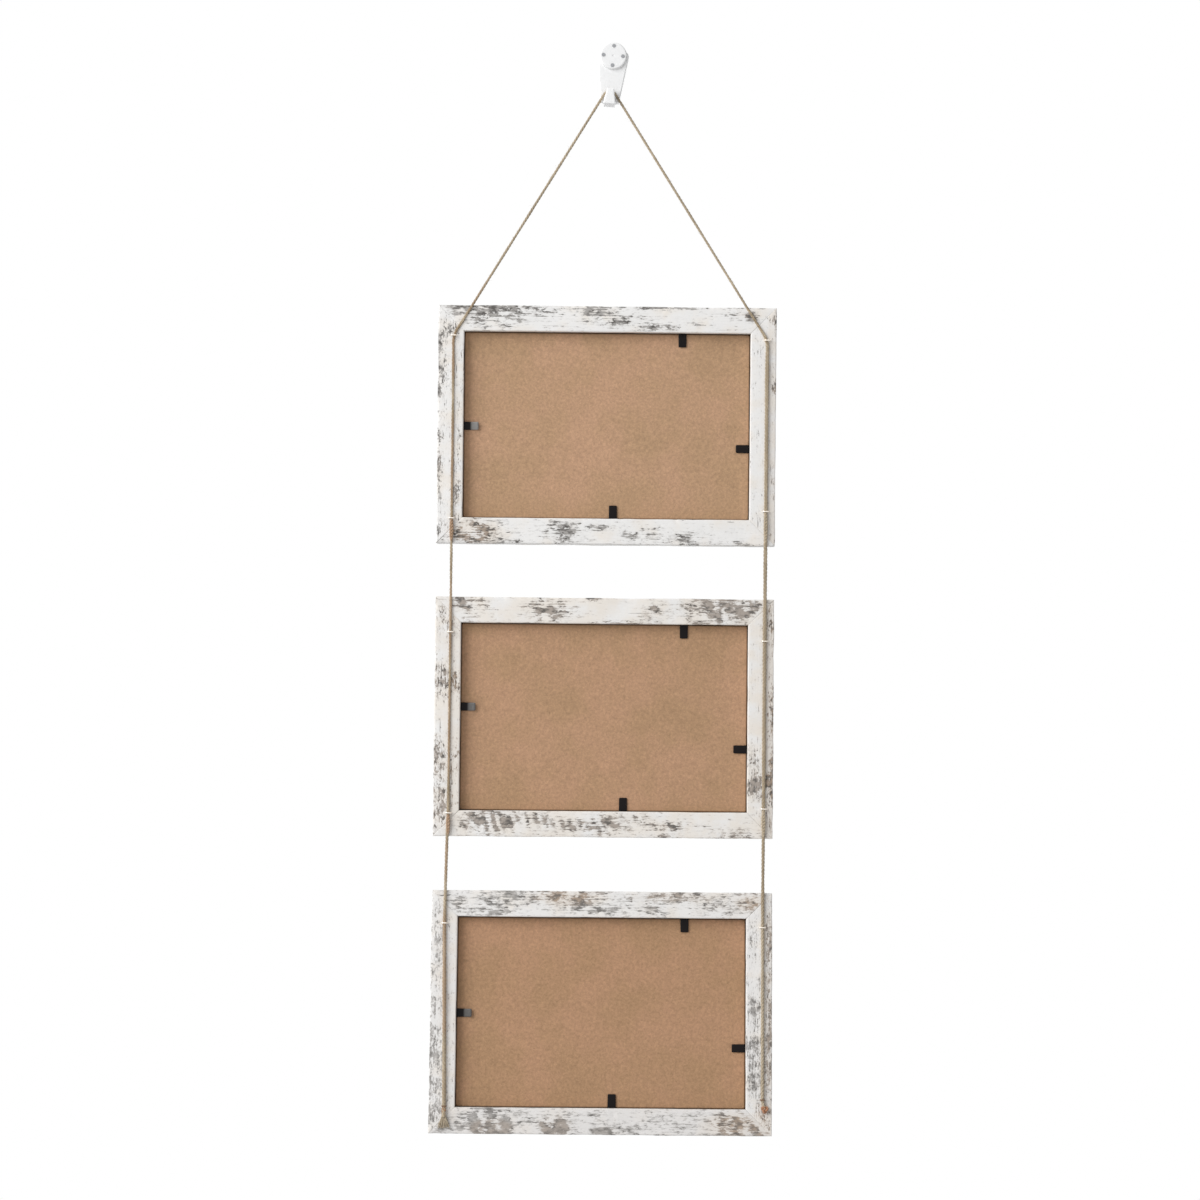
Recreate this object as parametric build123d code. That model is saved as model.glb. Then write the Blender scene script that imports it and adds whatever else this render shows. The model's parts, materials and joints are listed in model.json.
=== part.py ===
from build123d import *
import os
from math import acos, atan2, cos, degrees, hypot, pi, radians, sin

# A hanging photo display: three small wooden frames strung on twine below a pinned wall hook.
# Millimetres, +Z up. The wall is the plane y = 0 and the room is on the -Y side. The frames hang with
# their fronts to the wall and their backs to the room. The origin is the hook head's centre on the wall.

# Photo and the room that the rabbet leaves round it
PHOTO_WIDTH = 152.4
PHOTO_HEIGHT = 101.6
PHOTO_PLAY_X = 2.8
PHOTO_PLAY_Z = 0.7

# Moulding section
MOULDING_WIDTH = 14.2
MOULDING_DEPTH = 15.0
LIP_WIDTH = 5.5
LIP_THICKNESS = 4.5
LIP_BEVEL = 2.0
EDGE_RADIUS = 0.7

# What lies in the rabbet, from the lip to the back
SHEET_PLAY = 0.5
GLASS_THICKNESS = 2.0
PAPER_THICKNESS = 0.3
BACKING_THICKNESS = 3.0

# Flexible tabs that hold the backing in: a shank in the wood and a leaf that bends at the rabbet wall
TAB_WIDTH = 4.5
TAB_THICKNESS = 0.6
TAB_REACH = 7.5
TAB_TIP_RADIUS = 0.6
TAB_LIFT = 0.2
TAB_AXIS_GAP = 0.45
SHANK_DEPTH = 6.0
SHANK_PROUD = 0.1

# Corner nails across the mitres
NAIL_LEG = 5.5
NAIL_THICKNESS = 0.5
NAIL_HEIGHT = 9.0
NAIL_SINK = 0.3

# Staples over the twine
STAPLE_SPAN = 4.4
STAPLE_WIRE = 0.7
STAPLE_THICKNESS = 0.5
STAPLE_DEPTH = 6.0

# Twine, and the room that it keeps from what it lies on
TWINE_DIAMETER = 1.6
TWINE_CLEARANCE = 0.05
TWINE_INSET_LEFT = 8.4
TWINE_INSET_RIGHT = 5.2
STAPLE_BEND_RADIUS = 4.0
PIVOT_CLEARANCE = 0.15
BALL_RADIUS = 0.7
CUP_RADIUS = 1.0
KNOT_RADIUS = 1.35
KNOT_MARGIN = 2.0
KNOT_CLEARANCE = 0.15
END_BEND_DROP = 1.5
END_KNOT_RADIUS = 1.9
END_KNOT_DROP = {"left": 5.9, "right": 5.1}
END_KNOT_SHIFT = {"left": 0.0, "right": 1.2}
END_KNOT_STRETCH = {"left": 3.8, "right": 0.0}

# Wall hook
HEAD_RADIUS_BACK = 8.1
HEAD_RADIUS_FRONT = 7.4
HEAD_THICKNESS = 7.0
HEAD_EDGE = 0.8
HEAD_DIMPLE_RADIUS = 0.6
HEAD_DIMPLE_DEPTH = 0.3
STEM_THICKNESS = 5.5
STEM_TOP = 3.0
STEM_CORNER = 3.0
STEM_HALF_TOP = 9.1
STEM_HALF_BOTTOM = 5.2
STEM_EDGE = 0.6
SADDLE_DROP = 23.9
SADDLE_RADIUS = 3.0
SADDLE_CLEARANCE = 0.1
BEAM_BELOW_SADDLE = 3.6
THROAT_WIDTH = 3.2
HOOK_LIP_THICKNESS = 2.5
HOOK_LIP_HALF_TOP = 1.9
HOOK_LIP_HALF_BOTTOM = 3.5
HOOK_LIP_RISE = 5.0
HOOK_LIP_EDGE = 0.6
HOOK_LEAN = 4.0
PIN_CIRCLE = 10.8
PIN_RADIUS = 0.65
PIN_SHANK_RADIUS = 0.8
PIN_SHOULDER_PROUD = 0.3
PIN_HEAD_RADIUS = 0.95
PIN_HEAD_THICKNESS = 0.7
PIN_HEAD_PROUD = 0.15
PIN_PLAY = 0.05
PIN_IN_WALL = 9.0
PIN_POINT = 2.0
PIN_TIP_RADIUS = 0.13

# How the chain of frames hangs: each frame's bottom leans out from the wall by its tilt in degrees, because
# the twine lies on its back and its weight comes to rest under the twine
WALL_GAP = 0.5
HANGER_DROP = 116.1
FRAME_GAP = 29.5
FRAME_TILT = {"upper_frame": 1.58, "middle_frame": 2.63, "lower_frame": 7.85}

# Places set by hand on each frame. Tabs are measured from the frame's middle along their rail,
# staples down from its top edge and up from its bottom edge.
TAB_PLACES = {
    "upper_frame": {"top": 41.5, "right": -12.0, "bottom": 3.9, "left": -0.7},
    "middle_frame": {"top": 43.7, "right": -16.8, "bottom": 11.0, "left": 5.3},
    "lower_frame": {"top": 45.4, "right": -18.7, "bottom": 6.2, "left": -0.8},
}
STAPLE_PLACES = {
    "upper_frame": {"left": (16.9, 13.7), "right": (18.0, 18.9)},
    "middle_frame": {"left": (19.4, 12.7), "right": (23.0, 16.4)},
    "lower_frame": {"left": (18.0, 14.7), "right": (19.0, 19.5)},
}

# Worked out from the sizes above
OPENING_WIDTH = PHOTO_WIDTH + 2 * PHOTO_PLAY_X
OPENING_HEIGHT = PHOTO_HEIGHT + 2 * PHOTO_PLAY_Z
FRAME_WIDTH = OPENING_WIDTH + 2 * MOULDING_WIDTH
FRAME_HEIGHT = OPENING_HEIGHT + 2 * MOULDING_WIDTH
LIP_SEAT = MOULDING_DEPTH - LIP_THICKNESS
GLASS_BACK = LIP_SEAT - GLASS_THICKNESS
PAPER_BACK = GLASS_BACK - PAPER_THICKNESS
BACKING_BACK = PAPER_BACK - BACKING_THICKNESS
TAB_MID = BACKING_BACK - TAB_LIFT - TAB_THICKNESS / 2
TWINE_RADIUS = TWINE_DIAMETER / 2
TWINE_LIFT = TWINE_CLEARANCE + TWINE_RADIUS
PIVOT_OUT = TWINE_RADIUS + PIVOT_CLEARANCE
BACK_PLANE = -WALL_GAP - MOULDING_DEPTH
TWINE_PLANE = BACK_PLANE - TWINE_LIFT
TWINE_X = {
    "left": TWINE_INSET_LEFT - FRAME_WIDTH / 2,
    "right": FRAME_WIDTH / 2 - TWINE_INSET_RIGHT,
}
LEAN = Rot(0, HOOK_LEAN, 0)
FOOT = Align.CENTER, Align.CENTER, Align.MIN
SADDLE_X = -SADDLE_DROP * sin(radians(HOOK_LEAN))
SADDLE_Z = -SADDLE_DROP * cos(radians(HOOK_LEAN))
THROAT_MID = -STEM_THICKNESS - THROAT_WIDTH / 2
LINK_LENGTH = FRAME_GAP - 2 * PIVOT_OUT
FRAME_NAMES = list(TAB_PLACES)
FRAME_TOP_PIVOT = Vector(0, -TWINE_LIFT, FRAME_HEIGHT / 2 + PIVOT_OUT)
FRAME_BOTTOM_PIVOT = Vector(0, -TWINE_LIFT, -FRAME_HEIGHT / 2 - PIVOT_OUT)
# Each side's rail: its name, its half-length and the distance of its rabbet wall from the frame's middle
SIDES = {
    "top": ("top_rail", FRAME_WIDTH / 2, OPENING_HEIGHT / 2),
    "right": ("right_stile", FRAME_HEIGHT / 2, OPENING_WIDTH / 2),
    "bottom": ("bottom_rail", FRAME_WIDTH / 2, OPENING_HEIGHT / 2),
    "left": ("left_stile", FRAME_HEIGHT / 2, OPENING_WIDTH / 2),
}


def hang_frames():
    """Each frame's place: tilted about its top pivot, the twine links between them straight down."""
    pivot = Vector(SADDLE_X, TWINE_PLANE, SADDLE_Z - HANGER_DROP + PIVOT_OUT)
    places = {}
    for name in FRAME_NAMES:
        places[name] = Pos(pivot) * Rot(-FRAME_TILT[name], 0, 0) * Pos(-FRAME_TOP_PIVOT)
        pivot = (places[name] * Pos(FRAME_BOTTOM_PIVOT)).position - Vector(0, 0, LINK_LENGTH)
    return places


FRAME_PLACES = hang_frames()


def to_side(side):
    """Turns a piece built over the opening's top edge by right angles to one of the four sides."""
    return Rot(0, 90 * list(SIDES).index(side), 0)


def tab_along(name, side):
    """A tab's place along the top rail, before its rail is turned to its side."""
    place = TAB_PLACES[name][side]
    return place if side in ("top", "left") else -place


def block(low, high):
    """A box between two opposite corners."""
    size = [b - a for a, b in zip(low, high)]
    middle = [(a + b) / 2 for a, b in zip(low, high)]
    return Pos(*middle) * Box(*size)


def along_y(shape):
    """Turns a shape built up +Z so that it points out from the wall, along -Y."""
    return Rot(90, 0, 0) * shape


def prism(points, start, end):
    """A flat outline in X and Z, carried from depth y = start to y = end."""
    face = make_face(Polyline(*points, close=True))
    return Pos(0, end, 0) * extrude(Plane.XZ * face, amount=end - start)


def moulding_section():
    """Section of the moulding: x runs out from the rabbet wall, y from the back face to the front."""
    corners = [
        (0, 0),
        (MOULDING_WIDTH, 0),
        (MOULDING_WIDTH, MOULDING_DEPTH),
        (LIP_BEVEL - LIP_WIDTH, MOULDING_DEPTH),
        (-LIP_WIDTH, MOULDING_DEPTH - LIP_BEVEL),
        (-LIP_WIDTH, LIP_SEAT),
        (0, LIP_SEAT),
    ]
    section = make_face(Polyline(*corners, close=True))
    worn = [v for v in section.vertices() if min(abs(v.Y), abs(v.X - MOULDING_WIDTH)) < EDGE_RADIUS / 10]
    return fillet(worn, EDGE_RADIUS)


def plain_rail(half_length, wall):
    """A mitred length of moulding over the opening's top edge, its back face at y = 0."""
    section = Plane(origin=(0, 0, wall), x_dir=(0, 0, 1), z_dir=(-1, 0, 0)) * moulding_section()
    length = extrude(section, amount=half_length, both=True)
    inner = half_length - MOULDING_WIDTH - LIP_WIDTH
    mitres = [
        (-half_length, wall + MOULDING_WIDTH),
        (half_length, wall + MOULDING_WIDTH),
        (inner, wall - LIP_WIDTH),
        (-inner, wall - LIP_WIDTH),
    ]
    return length & prism(mitres, 0, MOULDING_DEPTH)


def tab_shank(wall, place):
    """The half of a tab that is driven into the rail over the opening's top edge."""
    low = (place - TAB_WIDTH / 2, TAB_MID - TAB_THICKNESS / 2, wall - SHANK_PROUD)
    high = (place + TAB_WIDTH / 2, TAB_MID + TAB_THICKNESS / 2, wall + SHANK_DEPTH)
    return block(low, high)


def tab_leaf(wall, place):
    """The free half of a tab: a flat leaf over the backing, round where it bends."""
    axis = wall - TAB_AXIS_GAP
    tip = axis - TAB_REACH
    half = TAB_WIDTH / 2
    outline = make_face(Polyline((-half, axis), (half, axis), (half, tip), (-half, tip), close=True))
    tips = [v for v in outline.vertices() if v.Y < axis - TAB_REACH / 2]
    flat = Plane.XZ * fillet(tips, TAB_TIP_RADIUS)
    leaf = Pos(0, TAB_THICKNESS / 2, 0) * extrude(flat, amount=TAB_THICKNESS)
    root = Pos(0, 0, axis) * Rot(0, 90, 0) * Cylinder(TAB_THICKNESS / 2, TAB_WIDTH)
    return Pos(place, TAB_MID, 0) * (leaf + root)


def corner_nail(side_x, side_z, sink):
    """An L-shaped nail across one mitre, its corner outwards, sunk below the back face."""
    apex_x = side_x * (FRAME_WIDTH - MOULDING_WIDTH) / 2
    apex_z = side_z * (FRAME_HEIGHT - MOULDING_WIDTH) / 2
    end_x = apex_x - side_x * NAIL_LEG
    end_z = apex_z - side_z * NAIL_LEG
    in_x = apex_x - side_x * NAIL_THICKNESS
    in_z = apex_z - side_z * NAIL_THICKNESS
    outline = [
        (apex_x, apex_z),
        (end_x, apex_z),
        (end_x, in_z),
        (in_x, in_z),
        (in_x, end_z),
        (apex_x, end_z),
    ]
    return prism(outline, sink, NAIL_SINK + NAIL_HEIGHT)


def staple_legs(x, z, top):
    """The two legs of a staple, from depth y = top into the wood."""
    legs = []
    for side in (-1, 1):
        middle = x + side * (STAPLE_SPAN - STAPLE_THICKNESS) / 2
        low = (middle - STAPLE_THICKNESS / 2, top, z - STAPLE_WIRE / 2)
        high = (middle + STAPLE_THICKNESS / 2, STAPLE_DEPTH, z + STAPLE_WIRE / 2)
        legs.append(block(low, high))
    return legs


def staple(x, z):
    """A staple over the twine at x, z on the frame's back face."""
    crown_under = -TWINE_DIAMETER - 2 * TWINE_CLEARANCE
    crown_top = crown_under - STAPLE_THICKNESS
    low = (x - STAPLE_SPAN / 2, crown_top, z - STAPLE_WIRE / 2)
    high = (x + STAPLE_SPAN / 2, crown_under, z + STAPLE_WIRE / 2)
    return block(low, high) + staple_legs(x, z, crown_top)


def staple_points(name):
    """Where a frame's staples are: x, z from the frame's middle."""
    points = []
    for side, (down, up) in STAPLE_PLACES[name].items():
        points.append((TWINE_X[side], FRAME_HEIGHT / 2 - down))
        points.append((TWINE_X[side], up - FRAME_HEIGHT / 2))
    return points


def tube(path):
    """Twine along a path of straight runs and tangent arcs."""
    start = Plane(origin=path @ 0, z_dir=path % 0)
    solid = sweep(start * Circle(TWINE_RADIUS), path=path)
    expected = pi * TWINE_RADIUS**2 * path.length
    print(f"twine {path.length:.1f} mm long, volume {solid.volume / expected:.4f} of section times length")
    return solid


def knot(x, top, bottom, radius):
    """A knot on the twine, a barrel with round ends that clears the frame's back face."""
    barrel = Cylinder(radius, top - bottom)
    barrel = fillet(barrel.edges().filter_by(GeomType.CIRCLE), radius / 2)
    return Pos(x, -KNOT_CLEARANCE - radius, (top + bottom) / 2) * barrel


def twine_run(name, side):
    """One side's twine on a frame's back, from the pivot over the top edge to the next pivot or knot."""
    x = TWINE_X[side]
    down, up = STAPLE_PLACES[name][side]
    last_staple = up - FRAME_HEIGHT / 2
    start = FRAME_TOP_PIVOT + Vector(x, 0, 0)
    end = FRAME_BOTTOM_PIVOT + Vector(x, 0, 0)
    cups = [start, end]
    bends = []
    bulge = knot(x, last_staple - KNOT_MARGIN, KNOT_MARGIN - FRAME_HEIGHT / 2, KNOT_RADIUS)
    if name == FRAME_NAMES[0]:
        start.X = HANGER_PIVOTS[side][0] - SADDLE_X
        bends = [Vector(x, -TWINE_LIFT, FRAME_HEIGHT / 2 - down)]
    if name == FRAME_NAMES[-1]:
        middle = last_staple - END_KNOT_DROP[side]
        reach = END_KNOT_RADIUS + END_KNOT_STRETCH[side] / 2
        end = Vector(x + END_KNOT_SHIFT[side], -KNOT_CLEARANCE - END_KNOT_RADIUS, middle)
        bulge = knot(end.X, middle + reach, middle - reach, END_KNOT_RADIUS)
        cups = [start]
        bends = [Vector(x, -TWINE_LIFT, last_staple - END_BEND_DROP)]
    path = FilletPolyline(start, *bends, end, radius=STAPLE_BEND_RADIUS) if bends else Line(start, end)
    return tube(path) + bulge - [Pos(cup) * Sphere(CUP_RADIUS) for cup in cups]


def hanger_geometry():
    """The plane of the hanging loop, its pivots on the upper frame and where it leaves the saddle.

    Seen from the room each leg is one straight line from the saddle to the frame's top staple.
    """
    loop_radius = SADDLE_RADIUS + SADDLE_CLEARANCE + TWINE_RADIUS
    name = FRAME_NAMES[0]
    pivot_z = SADDLE_Z - HANGER_DROP + PIVOT_OUT
    down = hypot(TWINE_PLANE - THROAT_MID, pivot_z - SADDLE_Z)
    plane = Plane(
        origin=(SADDLE_X, THROAT_MID, SADDLE_Z),
        x_dir=(1, 0, 0),
        z_dir=(0, pivot_z - SADDLE_Z, THROAT_MID - TWINE_PLANE),
    )
    pivots = {}
    tangents = {}
    for side, sign in (("left", -1), ("right", 1)):
        out = sign * TWINE_X[side]
        drop = HANGER_DROP + STAPLE_PLACES[name][side][0]
        turn = atan2(-drop, out) + acos(loop_radius / hypot(out, drop))
        reach = (loop_radius + (SADDLE_Z - pivot_z) * sin(turn)) / cos(turn)
        pivots[side] = (SADDLE_X + sign * reach, TWINE_PLANE, pivot_z)
        angle = atan2(-down, reach) + acos(loop_radius / hypot(reach, down))
        tangents[side] = (sign * loop_radius * cos(angle), loop_radius * sin(angle))
    return plane, loop_radius, pivots, tangents


HANGER_PLANE, LOOP_RADIUS, HANGER_PIVOTS, HANGER_TANGENTS = hanger_geometry()


def hanger_twine():
    """The loop over the hook and its two legs, down to the pivots at the upper frame's top edge."""
    crown = HANGER_PLANE.from_local_coords(Vector(0, LOOP_RADIUS, 0))
    touch = {side: HANGER_PLANE.from_local_coords(Vector(*p, 0)) for side, p in HANGER_TANGENTS.items()}
    left = Line(HANGER_PIVOTS["left"], touch["left"])
    over = ThreePointArc(touch["left"], crown, touch["right"])
    right = Line(touch["right"], HANGER_PIVOTS["right"])
    path = Wire([left.edge(), over.edge(), right.edge()])
    print(f"loop radius {LOOP_RADIUS:.2f} mm, legs {left.length:.1f} and {right.length:.1f} mm")
    ends = [Pos(*HANGER_PIVOTS[side]) * Sphere(BALL_RADIUS) for side in ("left", "right")]
    return tube(path) + ends


def link_twine(above):
    """The two straight twines between a frame's bottom edge and the next frame's top edge."""
    lines = []
    for side in ("left", "right"):
        top = (FRAME_PLACES[above] * Pos(FRAME_BOTTOM_PIVOT + Vector(TWINE_X[side], 0, 0))).position
        bottom = top - Vector(0, 0, LINK_LENGTH)
        lines.append(tube(Line(top, bottom)) + [Pos(end) * Sphere(BALL_RADIUS) for end in (top, bottom)])
    return lines


def hook_stem():
    """The wedge-shaped back plate behind and below the head, round-shouldered, its front edges eased."""
    bottom = -SADDLE_DROP - BEAM_BELOW_SADDLE / 2
    outline = [
        (-STEM_HALF_TOP, STEM_TOP),
        (STEM_HALF_TOP, STEM_TOP),
        (STEM_HALF_BOTTOM, bottom),
        (-STEM_HALF_BOTTOM, bottom),
    ]
    plate = prism(outline, -STEM_THICKNESS, 0)
    plate = fillet(plate.edges().filter_by(Axis.Y).sort_by(Axis.Z)[-2:], STEM_CORNER)
    return fillet(plate.faces().sort_by(Axis.Y)[0].edges(), STEM_EDGE)


def hook_beam():
    """The arm that carries the twine: flat below, round on top, from the stem to the lip."""
    end = -STEM_THICKNESS - THROAT_WIDTH - HOOK_LIP_THICKNESS / 2
    bottom = -SADDLE_DROP - BEAM_BELOW_SADDLE
    under = block((-SADDLE_RADIUS, end, bottom), (SADDLE_RADIUS, 0, -SADDLE_DROP))
    round_top = along_y(Cylinder(SADDLE_RADIUS, -end, align=FOOT))
    return under + Pos(0, 0, -SADDLE_DROP) * round_top


def hook_lip():
    """The upturned front of the hook, wider at its foot than at its top."""
    back = -STEM_THICKNESS - THROAT_WIDTH
    top = HOOK_LIP_RISE - SADDLE_DROP
    bottom = -SADDLE_DROP - BEAM_BELOW_SADDLE
    outline = [
        (-HOOK_LIP_HALF_BOTTOM, bottom),
        (HOOK_LIP_HALF_BOTTOM, bottom),
        (HOOK_LIP_HALF_TOP, top),
        (-HOOK_LIP_HALF_TOP, top),
    ]
    plate = prism(outline, back - HOOK_LIP_THICKNESS, back)
    return fillet(plate.faces().sort_by(Axis.Y)[0].edges(), HOOK_LIP_EDGE)


def pin_places():
    """The pins' places round the head, as locations in the wall plane."""
    radius = PIN_CIRCLE / 2
    return [Pos(radius * cos(k * pi / 2), 0, radius * sin(k * pi / 2)) for k in range(4)]


def pin_shape(play):
    """A hardened pin, its head in the hook's face, grown by a clearance for the hole that it goes in.

    Its shank is thicker in the hook than in the wall, and the shoulder between them stands just proud.
    """
    head_top = HEAD_THICKNESS + PIN_HEAD_PROUD
    shank = Cylinder(PIN_SHANK_RADIUS + play, PIN_SHOULDER_PROUD + head_top, align=FOOT)
    shank = Pos(0, 0, -PIN_SHOULDER_PROUD) * shank
    shaft = Pos(0, 0, -PIN_IN_WALL) * Cylinder(PIN_RADIUS, PIN_IN_WALL, align=FOOT)
    head_foot = head_top - PIN_HEAD_THICKNESS - play
    head = Pos(0, 0, head_foot) * Cylinder(PIN_HEAD_RADIUS + play, PIN_HEAD_THICKNESS + play, align=FOOT)
    return along_y(shaft + shank + head)


def hook_pin():
    """One pin, pointed at the wall end."""
    turned = pin_shape(0)
    point_edge = turned.edges().filter_by(GeomType.CIRCLE).sort_by(Axis.Y)[-1]
    return chamfer(point_edge, PIN_POINT, PIN_RADIUS - PIN_TIP_RADIUS)


def hook_body():
    """The moulded hook: round head, stem, arm and lip, with the pin holes through the head."""
    cone = Cone(HEAD_RADIUS_BACK, HEAD_RADIUS_FRONT, HEAD_THICKNESS, align=FOOT)
    head = along_y(fillet(cone.edges().filter_by(GeomType.CIRCLE).sort_by(Axis.Z)[-1], HEAD_EDGE))
    dimple = Cylinder(HEAD_DIMPLE_RADIUS, HEAD_DIMPLE_DEPTH, align=FOOT)
    dimple = along_y(Pos(0, 0, HEAD_THICKNESS - HEAD_DIMPLE_DEPTH) * dimple)
    body = head + hook_stem() + hook_beam() + hook_lip() - dimple
    holes = [place * pin_shape(PIN_PLAY) for place in pin_places()]
    return body - holes


def frame_nodes(name):
    """Every piece of one frame, by its own name, placed in the hanging chain."""
    points = staple_points(name)
    corners = [(side_x, side_z) for side_x in (-1, 1) for side_z in (-1, 1)]
    legs = [leg for x, z in points for leg in staple_legs(x, z, 0)]
    slots = [corner_nail(side_x, side_z, 0) for side_x, side_z in corners]
    nodes = {}
    shanks = []
    for side, (rail_name, half_length, wall) in SIDES.items():
        along = tab_along(name, side)
        shank = to_side(side) * tab_shank(wall, along)
        shanks.append(shank)
        rail = to_side(side) * plain_rail(half_length, wall)
        nodes[rail_name] = rail - (legs + slots + [shank])
        nodes[f"tab_{side}"] = to_side(side) * tab_leaf(wall, along)
    sheet_x = OPENING_WIDTH / 2 - SHEET_PLAY
    sheet_z = OPENING_HEIGHT / 2 - SHEET_PLAY
    nodes["glazing"] = block((-sheet_x, GLASS_BACK, -sheet_z), (sheet_x, LIP_SEAT, sheet_z))
    photo_x = PHOTO_WIDTH / 2
    photo_z = PHOTO_HEIGHT / 2
    nodes["photo_insert"] = block((-photo_x, PAPER_BACK, -photo_z), (photo_x, GLASS_BACK, photo_z))
    nodes["backing_board"] = block((-sheet_x, BACKING_BACK, -sheet_z), (sheet_x, PAPER_BACK, sheet_z))
    nodes["tab_shanks"] = Compound(children=shanks)
    nodes["corner_nails"] = Compound(children=[corner_nail(sx, sz, NAIL_SINK) for sx, sz in corners])
    nodes["staples"] = Compound(children=[staple(x, z) for x, z in points])
    nodes["twine_runs"] = Compound(children=[twine_run(name, side) for side in ("left", "right")])
    return {f"{name}_{piece}": FRAME_PLACES[name] * shape for piece, shape in nodes.items()}


def all_nodes():
    """Every piece of the display, by node name."""
    nodes = {
        "hook_body": LEAN * hook_body(),
        "hook_pins": Compound(children=[LEAN * place * hook_pin() for place in pin_places()]),
        "hanger_twine": hanger_twine(),
        "upper_link_twine": Compound(children=link_twine(FRAME_NAMES[0])),
        "lower_link_twine": Compound(children=link_twine(FRAME_NAMES[1])),
    }
    for name in FRAME_NAMES:
        nodes.update(frame_nodes(name))
    return nodes


def in_metres(vector):
    """A place or direction from millimetres, rounded for the record."""
    return [round(value / 1000, 6) for value in vector]


def print_joint_places():
    """Where the moving pieces turn, in metres, for the record."""
    print("saddle axis", in_metres((SADDLE_X, THROAT_MID, SADDLE_Z)))
    for name, place in FRAME_PLACES.items():
        print(name, "top pivot", in_metres((place * Pos(FRAME_TOP_PIVOT)).position))
        print(name, "bottom pivot", in_metres((place * Pos(FRAME_BOTTOM_PIVOT)).position))
        up = (place * Pos(0, 0, 1)).position - place.position
        print(name, "up", [round(value, 6) for value in up])
        for side, (_, _, wall) in SIDES.items():
            axis = Pos(tab_along(name, side), TAB_MID, wall - TAB_AXIS_GAP)
            print(name, side, "tab axis", in_metres((place * to_side(side) * axis).position))


os.makedirs("parts", exist_ok=True)
for node, shape in all_nodes().items():
    export_step(shape, f"parts/{node}.step")
print_joint_places()
leg_angle = degrees(atan2(HANGER_PIVOTS["right"][0] - SADDLE_X, HANGER_DROP))
print(f"bend at the staple {STAPLE_BEND_RADIUS} mm, leg angle {leg_angle:.1f} degrees")
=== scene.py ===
"""Three strung photo frames seen from behind: worn white paint, brown boards, jute twine, a wall hook."""

import json

import bpy
import numpy as np
from mathutils import Matrix


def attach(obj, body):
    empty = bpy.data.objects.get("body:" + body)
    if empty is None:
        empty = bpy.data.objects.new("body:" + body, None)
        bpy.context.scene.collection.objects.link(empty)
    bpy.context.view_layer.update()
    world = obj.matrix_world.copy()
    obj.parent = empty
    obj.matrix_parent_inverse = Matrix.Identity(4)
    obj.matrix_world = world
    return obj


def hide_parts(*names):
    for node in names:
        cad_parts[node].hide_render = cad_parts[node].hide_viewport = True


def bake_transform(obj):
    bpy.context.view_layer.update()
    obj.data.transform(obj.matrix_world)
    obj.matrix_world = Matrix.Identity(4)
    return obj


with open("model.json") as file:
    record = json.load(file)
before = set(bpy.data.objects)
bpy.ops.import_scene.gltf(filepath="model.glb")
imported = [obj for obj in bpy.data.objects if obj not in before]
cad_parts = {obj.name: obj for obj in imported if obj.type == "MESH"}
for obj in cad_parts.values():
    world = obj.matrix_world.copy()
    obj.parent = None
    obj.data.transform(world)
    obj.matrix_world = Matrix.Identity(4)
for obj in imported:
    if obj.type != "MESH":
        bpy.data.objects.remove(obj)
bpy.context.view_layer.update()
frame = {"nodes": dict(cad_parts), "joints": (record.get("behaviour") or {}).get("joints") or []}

bl_info = {
    "name": "Strung Photo Frames",
    "version": (1, 0, 0),
    "blender": (4, 5, 0),
    "location": "View3D > Sidebar > Frames",
    "description": "Builds the visible surfaces of three photo frames hung on twine",
    "category": "Object",
}

FRAMES = ("upper_frame", "middle_frame", "lower_frame")
SIDES = ("top", "right", "bottom", "left")
RAIL_NODES = {"top": "top_rail", "right": "right_stile", "bottom": "bottom_rail", "left": "left_stile"}
MM = 0.001
TURN = 2 * np.pi
INTO_WALL = np.array([0.0, 1.0, 0.0])

# Where the record's joints turn.
PIVOTS = {joint["name"]: np.array(joint["pos_m"], float) for joint in frame["joints"]}

# How far a frame's pivot lies behind its back and over its top edge.
TWINE_LIFT = 0.85 * MM
PIVOT_OUT = 0.95 * MM

# Places of the bent tabs along their rails, in the order of SIDES, to the right of or up from the middle.
TAB_PLACES = {
    "upper_frame": (0.0415, -0.0120, 0.0039, -0.0007),
    "middle_frame": (0.0437, -0.0168, 0.0110, 0.0053),
    "lower_frame": (0.0454, -0.0187, 0.0062, -0.0008),
}

# The twine's distance from a frame's middle, and how far the staples stand from its top and bottom edges.
TWINE_X = {"left": -0.0848, "right": 0.0880}
TOP_STAPLE_ASIDE = {("lower_frame", "left"): -0.0013}
STAPLE_PLACES = {
    "upper_frame": {"left": (0.0169, 0.0137), "right": (0.0180, 0.0189)},
    "middle_frame": {"left": (0.0194, 0.0127), "right": (0.0230, 0.0164)},
    "lower_frame": {"left": (0.0180, 0.0147), "right": (0.0190, 0.0195)},
}

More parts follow.
